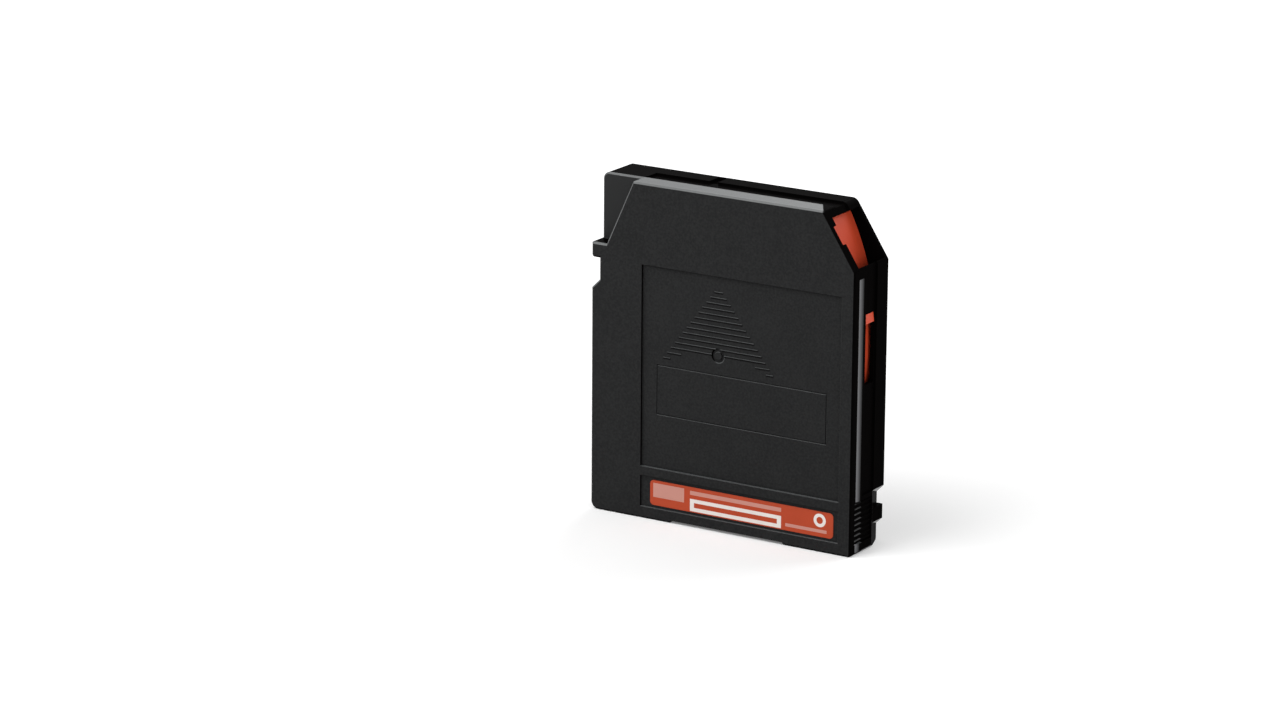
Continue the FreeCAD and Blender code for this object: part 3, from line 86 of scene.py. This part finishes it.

# ---- edges given painted highlight or painted shade by the way they face: direction, rounding in millimetres, cosines ----
HIGHLIGHT_EDGE = ((-0.35, 0.0, 0.94), 0.28, 0.13, 0.75)
SHADED_EDGE = ((0.0, 0.0, -1.0), 0.28, 0.06, 0.5)
DIMPLE_HIGHLIGHT_ARC = ((-0.55, 0.0, 0.83), 0.45, 0.10, 0.5)
DIMPLE_SHADE = ((0.83, 0.0, -0.55), 0.45, 0.03, 0.25)
EDGE_SAMPLES = 8
SOFT_SAMPLES = 6

# ---- places on the case, millimetres -------------------------------------------------------
HIGHLIGHT_GLOSS_X = (-30.0, 40.0)
RECESS_Y = (-8.0, -6.0)      # from the front face's colour to the paler one further back
GRIP_X = (52.0, 54.6)
GRIP_Z = (3.7, 19.4)
GRIP_HIGHLIGHT = 0.5            # share of the painted highlight that the grip's edges keep, where others keep all of it
GROOVE_X = (53.2, 54.6)
GROOVE_Y = (-8.9, -7.5, -5.6)    # where the painted highlight line begins, is brightest and ends
GROOVE_Z = (GRIP_Z[1], 101.2)
GROOVE_FOOT_Z = (0.6, GRIP_Z[0])
HIGHLIGHT_SLANT = 0.59           # the painted highlight on the loading edge loses this much length towards the seam
HIGHLIGHT_END = 34.0             # where its slanted end would meet the plane at mid thickness
HIGHLIGHT_FOOT = 115.0           # only above this height
TAB_X = (-56.0, -46.0)       # the handling tab's upper side, with painted shade behind its front edge
TAB_Z = (99.0, 102.5)
TAB_EDGE_Y = -11.0
DIMPLE = (-1.4, 65.6, 3.2, 2.0)  # x, z, outer and inner radius of the dimple's wall

# ---- door and label colours, linear --------------------------------------------------------
DOOR_DARK = (0.57, 0.060, 0.022)
DOOR_LIGHT = (0.63, 0.070, 0.027)
LABEL_DARK = (0.42, 0.056, 0.020)
LABEL_LIGHT = (0.47, 0.064, 0.024)
LABEL_RED = (0.44, 0.060, 0.022)
LABEL_PALE = (0.80, 0.74, 0.70)
LABEL_SOFT = (0.56, 0.26, 0.21)

# ---- fields on the label: x0, x1, z0, z1 in millimetres from its lower left corner ---------
LABEL_SOFT_FIELDS = (
    (1.3, 14.4, 3.1, 8.4),
    (16.9, 55.0, 6.5, 8.0),
    (56.8, 73.8, 1.5, 2.7),
)
LABEL_BAR = (16.9, 55.0, 0.4, 5.0)
LABEL_BAR_LINE = (18.6, 53.3, 1.8, 3.6)
LABEL_RING = (70.9, 6.1, 2.5, 1.3)   # x, z, outer and inner radius

# ---- other materials: name, dark colour, light colour, roughness, the pieces it is on ------
PLAIN_PLASTICS = (
    ("hub_ivory", (0.60, 0.59, 0.56), (0.68, 0.67, 0.64), 0.40, ("reel_hub",)),
    ("flange_smoke", (0.10, 0.10, 0.11), (0.13, 0.13, 0.14), 0.25, ("reel_front_flange",)),
    ("tape_brown", (0.035, 0.026, 0.022), (0.050, 0.038, 0.032), 0.20, ("tape_pack", "leader_tape")),
    ("brake_white", (0.70, 0.70, 0.68), (0.76, 0.76, 0.74), 0.40, ("brake_button",)),
    ("pad_grey", (0.15, 0.15, 0.16), (0.19, 0.19, 0.20), 0.40, ("release_pad",)),
    ("clip_black", (0.02, 0.02, 0.02), (0.03, 0.03, 0.03), 0.40, ("leader_clip",)),
    ("switch_grey", (0.24, 0.25, 0.26), (0.29, 0.30, 0.31), 0.40, ("write_protect_switch",)),
    ("board_green", (0.02, 0.12, 0.05), (0.03, 0.16, 0.07), 0.30, ("memory_board",)),
    ("chip_black", (0.015, 0.015, 0.016), (0.022, 0.022, 0.023), 0.40, ("memory_chip",)),
)
METALS = (
    ("chuck_steel", (0.27, 0.27, 0.28), (0.37, 0.37, 0.38), 0.30, ("chuck_plate",)),
    ("pin_steel", (0.52, 0.52, 0.53), (0.64, 0.64, 0.65), 0.22, ("leader_pin",)),
    ("spring_steel", (0.40, 0.40, 0.41), (0.50, 0.50, 0.50), 0.30,
     ("door_spring", "brake_spring", "pin_spring_front", "pin_spring_rear")),
    ("screw_steel", (0.06, 0.06, 0.065), (0.10, 0.10, 0.105), 0.35, ("case_screws",)),
)

# ---- rear wall of the notch in the rim, millimetres ----------------------------------------
WEB_X = (-15.1, -11.3)       # each end stands a little inside the rim
WEB_THICKNESS = 1.2
WEB_DEPTH = 1.4
WEB_EDGE = 0.2               # rounding of its inner upper edge
WEB_EDGE_STEPS = 3
WEB_SKIN = 0.01              # keeps it just inside the rim's own faces
RIM_BEVEL = 0.6

# ---- studio, metres and watts --------------------------------------------------------------
FLOOR_HALF = 6.0
FLOOR_PALE = (0.90, 0.90, 0.90)
FLOOR_LIFT = 0.15            # added where the floor is seen or mirrored, and never as light
FLOOR_FAR_LIFT = 0.80        # the same far away, where the lamps no longer reach
FLOOR_NEAR = 0.25            # distance from the frame's origin at which the lift begins to grow
FLOOR_FAR = 1.2
FLOOR_GAP = 0.00002          # keeps the floor off the base's own plane
WHITE = (1, 1, 1)
AMBIENT = 0.34               # the world's strength as light on the object
LAMPS = (                    # name, place, the point it is turned to, sides, power
    ("key", (-0.20, -0.32, 0.56), (0, 0, 0.09), (0.5, 0.5), 3.4),
    ("back", (0.2, 1.0, 0.75), (0, 0, 0.12), (1.4, 0.5), 10),
    ("side", (1.1, -0.4, 0.3), (0.05, 0, 0.06), (0.5, 0.6), 3),
)

# ---- camera, degrees, metres and millimetres of lens ---------------------------------------
VIEW_AZIMUTH = 30.64
VIEW_ELEVATION = 15.70
VIEW_ROLL = 0.73
VIEW_DISTANCE = 1.7521
LENS = 137.3
SENSOR = 36.0
SHIFT_X = -0.0763            # the cartridge stands right of the middle of the frame
SHIFT_Y = -0.0016

# ---- sockets -------------------------------------------------------------------------------
MIX_COLOUR_INPUTS = (6, 7)   # a Mix node's colour sockets share their names with its others
MIX_COLOUR_OUTPUT = 2
SHADER_SOCKETS = {
    "colour": "Base Color",
    "rough": "Roughness",
    "metal": "Metallic",
    "gloss": "Specular IOR Level",
    "glow_colour": "Emission Color",
    "glow": "Emission Strength",
}

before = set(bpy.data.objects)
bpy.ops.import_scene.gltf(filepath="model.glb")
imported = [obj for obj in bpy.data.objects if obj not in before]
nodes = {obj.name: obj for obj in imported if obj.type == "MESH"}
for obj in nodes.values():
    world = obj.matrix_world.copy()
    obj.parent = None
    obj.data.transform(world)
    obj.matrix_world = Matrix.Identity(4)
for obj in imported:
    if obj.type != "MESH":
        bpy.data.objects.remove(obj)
cad_low, cad_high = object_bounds()


# ---- node helpers --------------------------------------------------------------------------
class Graph:
    """A node tree, with short calls for the nodes that finishes and studio share."""

    def __init__(self, node_tree):
        self.nodes = node_tree.nodes
        self.links = node_tree.links

    def add(self, kind, **settings):
        """A new node, with its own settings."""
        node = self.nodes.new(kind)
        for key, value in settings.items():
            setattr(node, key, value)
        return node

    def link(self, output, target):
        """Leads a node's output to a socket."""
        self.links.new(output, target)

    def feed(self, socket, value):
        """Gives a socket a colour, a number or another node's output."""
        if isinstance(value, tuple):
            socket.default_value = (*value, 1)
        elif isinstance(value, (int, float)):
            socket.default_value = value
        else:
            self.link(value, socket)

    def ramp(self, value, low, high, out_low=0.0, out_high=1.0):
        """Follows a value from low to high, and is steady beyond them."""
        node = self.add("ShaderNodeMapRange")
        node.inputs["From Min"].default_value = low
        node.inputs["From Max"].default_value = high
        node.inputs["To Min"].default_value = out_low
        node.inputs["To Max"].default_value = out_high
        self.link(value, node.inputs["Value"])
        return node.outputs["Result"]

    def math(self, kind, *values):
        """Result of one operation on numbers and other nodes' outputs."""
        node = self.add("ShaderNodeMath", operation=kind)
        for socket, value in zip(node.inputs, values):
            self.feed(socket, value)
        return node.outputs["Value"]

    def all_of(self, first, *others):
        """1 where every mask is 1."""
        product = first
        for mask in others:
            product = self.math("MULTIPLY", product, mask)
        return product

    def any_of(self, first, *others):
        """1 where any mask is 1."""
        largest = first
        for mask in others:
            largest = self.math("MAXIMUM", largest, mask)
        return largest

    def seen_ray(self):
        """1 for rays that show the background itself: to the camera, mirrored or through glass."""
        path = self.add("ShaderNodeLightPath")
        rays = ("Is Camera Ray", "Is Glossy Ray", "Is Transmission Ray")
        return self.any_of(*(path.outputs[ray] for ray in rays))


class Finish(Graph):
    """A material's node tree, with masks for places on the object; sizes in millimetres."""

    def __init__(self, name):
        self.material = bpy.data.materials.new(name)
        self.material.use_nodes = True
        super().__init__(self.material.node_tree)
        self.shader = self.nodes["Principled BSDF"]
        coordinates = self.add("ShaderNodeTexCoord")
        self.place = coordinates.outputs["Object"]
        self.normal = coordinates.outputs["Normal"]

    def noise(self, size_mm, detail=3.0, rough=0.55, scale=(1, 1, 1)):
        """Noise whose features are about size_mm across, from 0 to 1."""
        mapping = self.add("ShaderNodeMapping")
        mapping.inputs["Scale"].default_value = scale
        self.link(self.place, mapping.inputs["Vector"])
        node = self.add("ShaderNodeTexNoise")
        node.inputs["Scale"].default_value = 1 / (size_mm * MM)
        node.inputs["Detail"].default_value = detail
        node.inputs["Roughness"].default_value = rough
        self.link(mapping.outputs["Vector"], node.inputs["Vector"])
        return node.outputs["Fac"]

    def spread(self, noise, low, high):
        """Number between two that follows the middle of a noise."""
        return self.ramp(noise, *NOISE_MIDDLE, low, high)

    def count_from(self, point):
        """Makes the masks that are called next count their places from a point of the frame."""
        shift = self.add("ShaderNodeVectorMath", operation="SUBTRACT")
        self.link(self.place, shift.inputs[0])
        shift.inputs[1].default_value = point
        self.place = shift.outputs["Vector"]

    def axis(self, name):
        """One coordinate of the surface point, in metres."""
        split = self.add("ShaderNodeSeparateXYZ")
        self.link(self.place, split.inputs["Vector"])
        return split.outputs[name]

    def slope(self, name, low_mm, high_mm, out_low=0.0, out_high=1.0):
        """Number that changes between two places along an axis."""
        return self.ramp(self.axis(name), low_mm * MM, high_mm * MM, out_low, out_high)

    def band(self, name, low_mm, high_mm):
        """1 between two places along an axis, 0 outside."""
        place = self.axis(name)
        return self.all_of(self.math("GREATER_THAN", place, low_mm * MM),
                           self.math("LESS_THAN", place, high_mm * MM))

    def toward(self, normal, way, low, high):
        """How far a normal turns one way, between two cosines: 0 to 1."""
        dot = self.add("ShaderNodeVectorMath", operation="DOT_PRODUCT")
        self.link(normal, dot.inputs[0])
        dot.inputs[1].default_value = way
        return self.ramp(dot.outputs["Value"], low, high)

    def leaning(self, way, low=LEANING[0], high=LEANING[1]):
        """1 where the surface leans one way, 0 where it doesn't."""
        return self.toward(self.normal, way, low, high)

    def rounded(self, radius_mm, samples):
        """The surface's normal, with its edges rounded."""
        bevel = self.add("ShaderNodeBevel", samples=samples)
        bevel.inputs["Radius"].default_value = radius_mm * MM
        return bevel.outputs["Normal"]

    def edge_facing(self, way, radius_mm, low, high):
        """How far the surface, with its edges rounded, leans one way: 0 to 1."""
        return self.toward(self.rounded(radius_mm, EDGE_SAMPLES), way, low, high)

    def field(self, x0, x1, z0, z1):
        """1 inside a rectangle as seen from the front, 0 outside."""
        across = self.math("ABSOLUTE", self.math("SUBTRACT", self.axis("X"), (x0 + x1) / 2 * MM))
        rise = self.math("ABSOLUTE", self.math("SUBTRACT", self.axis("Z"), (z0 + z1) / 2 * MM))
        return self.all_of(self.math("LESS_THAN", across, (x1 - x0) / 2 * MM),
                           self.math("LESS_THAN", rise, (z1 - z0) / 2 * MM))

    def spot(self, x, z, radius):
        """1 inside a circle as seen from the front, 0 outside."""
        across = self.math("SUBTRACT", self.axis("X"), x * MM)
        rise = self.math("SUBTRACT", self.axis("Z"), z * MM)
        square = self.math("ADD", self.math("MULTIPLY", across, across),
                           self.math("MULTIPLY", rise, rise))
        return self.math("LESS_THAN", square, (radius * MM) ** 2)

    def groove(self):
        """How far the handling groove of the right flank carries its painted highlight line: 0 to 1.
        """
        start, middle, end = GROOVE_Y
        line = self.math("MINIMUM", self.slope("Y", start, middle), self.slope("Y", end, middle))
        along = self.any_of(self.band("Z", *GROOVE_Z), self.band("Z", *GROOVE_FOOT_Z))
        return self.all_of(line, self.band("X", *GROOVE_X), along)

    def past_highlight(self):
        """1 on the loading edge past a slanted line at the door corner, where painted shade cuts off
        its painted highlight, 0 elsewhere.
        """
        slanted = self.math("ADD", self.axis("X"), self.math("MULTIPLY", self.axis("Y"), HIGHLIGHT_SLANT))
        return self.all_of(self.leaning(UP),
                           self.math("GREATER_THAN", slanted, HIGHLIGHT_END * MM),
                           self.math("GREATER_THAN", self.axis("Z"), HIGHLIGHT_FOOT * MM))

    def behind_tab_edge(self):
        """1 on the handling tab's upper side, behind its front edge with painted highlight, for
        painted shade, 0 elsewhere.
        """
        return self.all_of(self.leaning(UP), self.band("X", *TAB_X), self.band("Z", *TAB_Z),
                           self.math("GREATER_THAN", self.axis("Y"), TAB_EDGE_Y * MM))

    def off_grip(self):
        """Under 1 on the grip's ribs, whose edges get less painted highlight, and 1 elsewhere."""
        return self.blend(self.all_of(self.band("Z", *GRIP_Z), self.band("X", *GRIP_X)),
                          1.0, GRIP_HIGHLIGHT)

    def blend(self, factor, first, second):
        """Number between two, by a factor from 0 to 1."""
        node = self.add("ShaderNodeMix", data_type="FLOAT")
        for name, value in (("Factor", factor), ("A", first), ("B", second)):
            self.feed(node.inputs[name], value)
        return node.outputs["Result"]

    def tint(self, factor, first, second):
        """Colour between two, by a factor from 0 to 1."""
        node = self.add("ShaderNodeMix", data_type="RGBA")
        self.link(factor, node.inputs["Factor"])
        for index, value in zip(MIX_COLOUR_INPUTS, (first, second)):
            self.feed(node.inputs[index], value)
        return node.outputs[MIX_COLOUR_OUTPUT]

    def set(self, **values):
        """Feeds the shader's own sockets."""
        for key, value in values.items():
            self.feed(self.shader.inputs[SHADER_SOCKETS[key]], value)

    def bump(self, height, depth_mm, edge_mm):
        """Bump of a real depth, on top of edges softened by edge_mm."""
        node = self.add("ShaderNodeBump")
        node.inputs["Strength"].default_value = 1.0
        node.inputs["Distance"].default_value = depth_mm * MM
        self.link(height, node.inputs["Height"])
        self.link(self.rounded(edge_mm, SOFT_SAMPLES), node.inputs["Normal"])
        self.link(node.outputs["Normal"], self.shader.inputs["Normal"])


def put(name, data):
    """A new object in the scene."""
    thing = bpy.data.objects.new(name, data)
    bpy.context.scene.collection.objects.link(thing)
    return thing


def dress(material, *names):
    """Puts one material on every slot of the named CAD nodes."""
    for name in names:
        for slot in nodes[name].material_slots:
            slot.material = material


# ---- case ----------------------------------------------------------------------------------
def front_plastic():
    """Black plastic of the front half: fine grain, glossier upper faces and up-facing edges with
    painted highlight, a painted highlight line in the handling groove, and painted shade on
    down-facing edges, the dimple's wall and the right flank.
    """
    finish = Finish("front_case_black")
    grain = finish.noise(size_mm=0.32, detail=4.0, rough=0.7)
    cloud = finish.noise(size_mm=14.0, detail=2.0)
    speck = finish.noise(size_mm=0.8)
    mottle = finish.ramp(finish.blend(MOTTLE_FINE, cloud, speck), *MOTTLE_MIDDLE)
    # painted shade on the right flank, on the loading edge past the highlight's end and on the tab's
    # upper side
    painted_shade_zone = finish.any_of(finish.leaning(RIGHT, *RIGHT_FLANK), finish.past_highlight(),
                          finish.behind_tab_edge())
    # the dimple's wall: painted highlight on its lower right, painted shade on its upper left
    x, z, outer, inner = DIMPLE
    dimple = finish.math("SUBTRACT", finish.spot(x, z, outer), finish.spot(x, z, inner))
    highlight_arc = finish.all_of(dimple, finish.edge_facing(*DIMPLE_HIGHLIGHT_ARC))
    shade = finish.all_of(dimple, finish.edge_facing(*DIMPLE_SHADE))
    off_left = finish.math("SUBTRACT", 1.0, finish.leaning(LEFT, *LEFT_FLANK))
    # painted highlight on upper faces and up-facing edges, weaker on the grip and kept off the left
    # flank
    highlight = finish.all_of(finish.any_of(finish.edge_facing(*HIGHLIGHT_EDGE), highlight_arc),
                           finish.off_grip(), off_left)
    # painted shade on down-facing edges and on the dimple's upper left wall
    shaded = finish.any_of(finish.edge_facing(*SHADED_EDGE), shade)
    groove = finish.groove()

    colour = finish.tint(mottle, FRONT_DARK, FRONT_LIGHT)
    colour = finish.tint(finish.slope("Y", *RECESS_Y), colour, RECESS_LIGHT)
    colour = finish.tint(highlight, colour, FRONT_HIGHLIGHT)
    # painted shade laid over the colour
    for dark in (shaded, painted_shade_zone):
        colour = finish.tint(dark, colour, PAINTED_SHADE_BLACK)
    gloss = finish.blend(highlight, FACE_GLOSS, finish.slope("X", *HIGHLIGHT_GLOSS_X, *HIGHLIGHT_GLOSS))
    gloss = finish.blend(shaded, gloss, 0.0)
    gloss = finish.blend(painted_shade_zone, gloss, FLANK_GLOSS)
    finish.set(colour=finish.tint(groove, colour, GROOVE_HIGHLIGHT),
               gloss=finish.blend(groove, gloss, GROOVE_GLOSS),
               rough=finish.blend(painted_shade_zone, finish.spread(grain, *FACE_ROUGH), FLANK_ROUGH))
    finish.bump(grain, depth_mm=0.030, edge_mm=0.12)
    return finish.material


def rear_plastic():
    """Black plastic of the rear half: smooth and faintly hazy, darkest above, on the right and
    inside, by painted shade.
    """
    finish = Finish("rear_case_black")
    haze = finish.noise(size_mm=9.0)
    fine = finish.noise(size_mm=0.6, detail=2.0)
    # painted shade on faces turned up, right or forward
    dark = finish.any_of(finish.leaning(UP_OR_RIGHT), finish.leaning(FORWARD))
    colour = finish.tint(dark, finish.tint(haze, REAR_DARK, REAR_LIGHT), PAINTED_SHADE_BLACK)
    finish.set(colour=colour, rough=finish.spread(haze, *REAR_ROUGH),
               gloss=finish.blend(dark, REAR_GLOSS, FLANK_GLOSS))
    finish.bump(fine, depth_mm=0.002, edge_mm=0.12)
    return finish.material


def rim_notch_web(material):
    """Thin rear wall of the locating notch in the rim of the loading edge."""
    skin = WEB_SKIN * MM
    rear, top = cad_high[1] - skin, cad_high[2] - skin
    front, foot = rear - WEB_THICKNESS * MM, top - WEB_DEPTH * MM
    bevel = RIM_BEVEL * MM
    profile = ((front, foot), (rear, foot), (rear, top - bevel), (rear - bevel, top), (front, top))
    start, end = (x * MM for x in WEB_X)
    form = bmesh.new()
    form.faces.new([form.verts.new((start, y, z)) for y, z in profile])
    grown = bmesh.ops.extrude_face_region(form, geom=form.faces[:])["geom"]
    bmesh.ops.translate(form, vec=(end - start, 0, 0),
                        verts=[part for part in grown if isinstance(part, bmesh.types.BMVert)])
    inner = [edge for edge in form.edges
             if all(abs(tip.co.y - front) + abs(tip.co.z - top) < skin for tip in edge.verts)]
    bmesh.ops.bevel(form, geom=inner, offset=WEB_EDGE * MM, segments=WEB_EDGE_STEPS,
                    affect="EDGES")
    bmesh.ops.recalc_face_normals(form, faces=form.faces[:])
    mesh = bpy.data.meshes.new("rim_notch_web")
    form.to_mesh(mesh)
    form.free()
    mesh.materials.append(material)
    piece = put("rim_notch_web", mesh)
    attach(piece, "case")


# ---- door and label ------------------------------------------------------------------------
def door_plastic():
    """Orange-red moulded door, slightly satin."""
    finish = Finish("door_orange_red")
    cloud = finish.noise(size_mm=8.0, detail=2.0)
    fine = finish.noise(size_mm=0.4)
    finish.set(colour=finish.tint(cloud, DOOR_DARK, DOOR_LIGHT),
               rough=finish.spread(fine, *DOOR_ROUGH), gloss=RED_GLOSS)
    finish.bump(fine, depth_mm=0.004, edge_mm=0.1)
    return finish.material


def printed_label():
    """Orange-red label with plain fields in place of any print."""
    finish = Finish("label_orange_red")
    cloud = finish.noise(size_mm=6.0, detail=2.0)
    fibre = finish.noise(size_mm=0.3)
    finish.count_from(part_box("front_label")[0])
    colour = finish.tint(cloud, LABEL_DARK, LABEL_LIGHT)
    for field in LABEL_SOFT_FIELDS:
        colour = finish.tint(finish.field(*field), colour, LABEL_SOFT)
    x, z, outer, inner = LABEL_RING
    for mask, shade in ((finish.field(*LABEL_BAR), LABEL_PALE),
                        (finish.field(*LABEL_BAR_LINE), LABEL_RED),
                        (finish.spot(x, z, outer), LABEL_PALE),
                        (finish.spot(x, z, inner), LABEL_RED)):
        colour = finish.tint(mask, colour, shade)
    finish.set(colour=colour, rough=finish.spread(fibre, *LABEL_ROUGH), gloss=RED_GLOSS)
    finish.bump(fibre, depth_mm=0.004, edge_mm=0.05)
    return finish.material


# ---- plain plastics and metals -------------------------------------------------------------
def plain_plastic(name, dark, light, rough):
    """Moulded plastic with faint cloudiness and a very fine grain."""
    finish = Finish(name)
    cloud = finish.noise(size_mm=6.0, detail=2.0)
    fine = finish.noise(size_mm=0.35)
    finish.set(colour=finish.tint(cloud, dark, light),
               rough=finish.spread(fine, rough - PLASTIC_ROUGH_STEP, rough + PLASTIC_ROUGH_STEP),
               gloss=PLAIN_GLOSS)
    finish.bump(fine, depth_mm=0.004, edge_mm=0.08)
    return finish.material


def metal(name, dark, light, rough):
    """Bare metal with streaks drawn along Y."""
    finish = Finish(name)
    streak = finish.noise(size_mm=0.25, detail=4.0, scale=STREAK_SCALE)
    down, up = METAL_ROUGH_STEPS
    finish.set(colour=finish.tint(streak, dark, light),
               rough=finish.spread(streak, rough - down, rough + up), metal=1.0)
    finish.bump(streak, depth_mm=0.003, edge_mm=0.05)
    return finish.material


rear_case = rear_plastic()
dress(front_plastic(), "upper_shell")
dress(rear_case, "lower_shell")
rim_notch_web(rear_case)
dress(door_plastic(), "door")
dress(printed_label(), "front_label")
for make, finishes in ((plain_plastic, PLAIN_PLASTICS), (metal, METALS)):
    for name, dark, light, rough, pieces in finishes:
        dress(make(name, dark, light, rough), *pieces)


# ---- studio and camera ---------------------------------------------------------------------
def studio_floor():
    """Pale floor with the cartridge's shadow, which turns white away from the cartridge."""
    corners = [(x * FLOOR_HALF, y * FLOOR_HALF, 0) for x, y in ((-1, -1), (1, -1), (1, 1), (-1, 1))]
    mesh = bpy.data.meshes.new("studio_floor")
    mesh.from_pydata(corners, [], [(0, 1, 2, 3)])
    floor = put("studio_floor", mesh)
    floor.location.z = -FLOOR_GAP
    finish = Finish("studio_floor")
    distance = finish.add("ShaderNodeVectorMath", operation="LENGTH")
    finish.link(finish.place, distance.inputs[0])
    lift = finish.ramp(distance.outputs["Value"], FLOOR_NEAR, FLOOR_FAR, FLOOR_LIFT, FLOOR_FAR_LIFT)
    finish.set(colour=FLOOR_PALE, rough=FLOOR_ROUGH, gloss=0.0, glow_colour=WHITE,
               glow=finish.math("MULTIPLY", finish.seen_ray(), lift))
    mesh.materials.append(finish.material)


def studio_world():
    """White for all that is seen or mirrored, and dimmer as light on the object."""
    world = bpy.data.worlds.new("studio")
    bpy.context.scene.world = world
    world.use_nodes = True
    graph = Graph(world.node_tree)
    background = graph.nodes["Background"]
    graph.feed(background.inputs["Color"], WHITE)
    strength = graph.ramp(graph.seen_ray(), 0.0, 1.0, AMBIENT, 1.0)
    graph.link(strength, background.inputs["Strength"])


def soft_light(name, place, aim, sides, power):
    """Rectangular area light at a place, turned towards a point."""
    lamp = bpy.data.lights.new(name, "AREA")
    lamp.shape = "RECTANGLE"
    lamp.size, lamp.size_y = sides
    lamp.energy = power
    holder = put(name, lamp)
    holder.location = place
    holder.rotation_euler = (Vector(aim) - Vector(place)).to_track_quat("-Z", "Y").to_euler()


def camera():
    """Long lens turned to a point halfway up the cartridge, in front and to the right of it."""
    azimuth = math.radians(VIEW_AZIMUTH)
    elevation = math.radians(VIEW_ELEVATION)
    roll = math.radians(VIEW_ROLL)
    back = Vector((math.sin(azimuth) * math.cos(elevation),
                   -math.cos(azimuth) * math.cos(elevation), math.sin(elevation)))
    level = Vector((math.cos(azimuth), math.sin(azimuth), 0))
    above = back.cross(level)
    right = level * math.cos(roll) + above * math.sin(roll)
    up = above * math.cos(roll) - level * math.sin(roll)
    middle = Vector((0, 0, cad_high[2] / 2))
    data = bpy.data.cameras.new("camera")
    data.lens = LENS
    data.sensor_width = SENSOR
    data.shift_x = SHIFT_X
    data.shift_y = SHIFT_Y
    holder = put("camera", data)
    turn = Matrix((right, up, back)).transposed().to_4x4()
    holder.matrix_world = Matrix.Translation(middle + back * VIEW_DISTANCE) @ turn
    bpy.context.scene.camera = holder


studio_floor()
studio_world()
for lamp in LAMPS:
    soft_light(*lamp)
camera()
bpy.context.scene.view_settings.view_transform = "Standard"
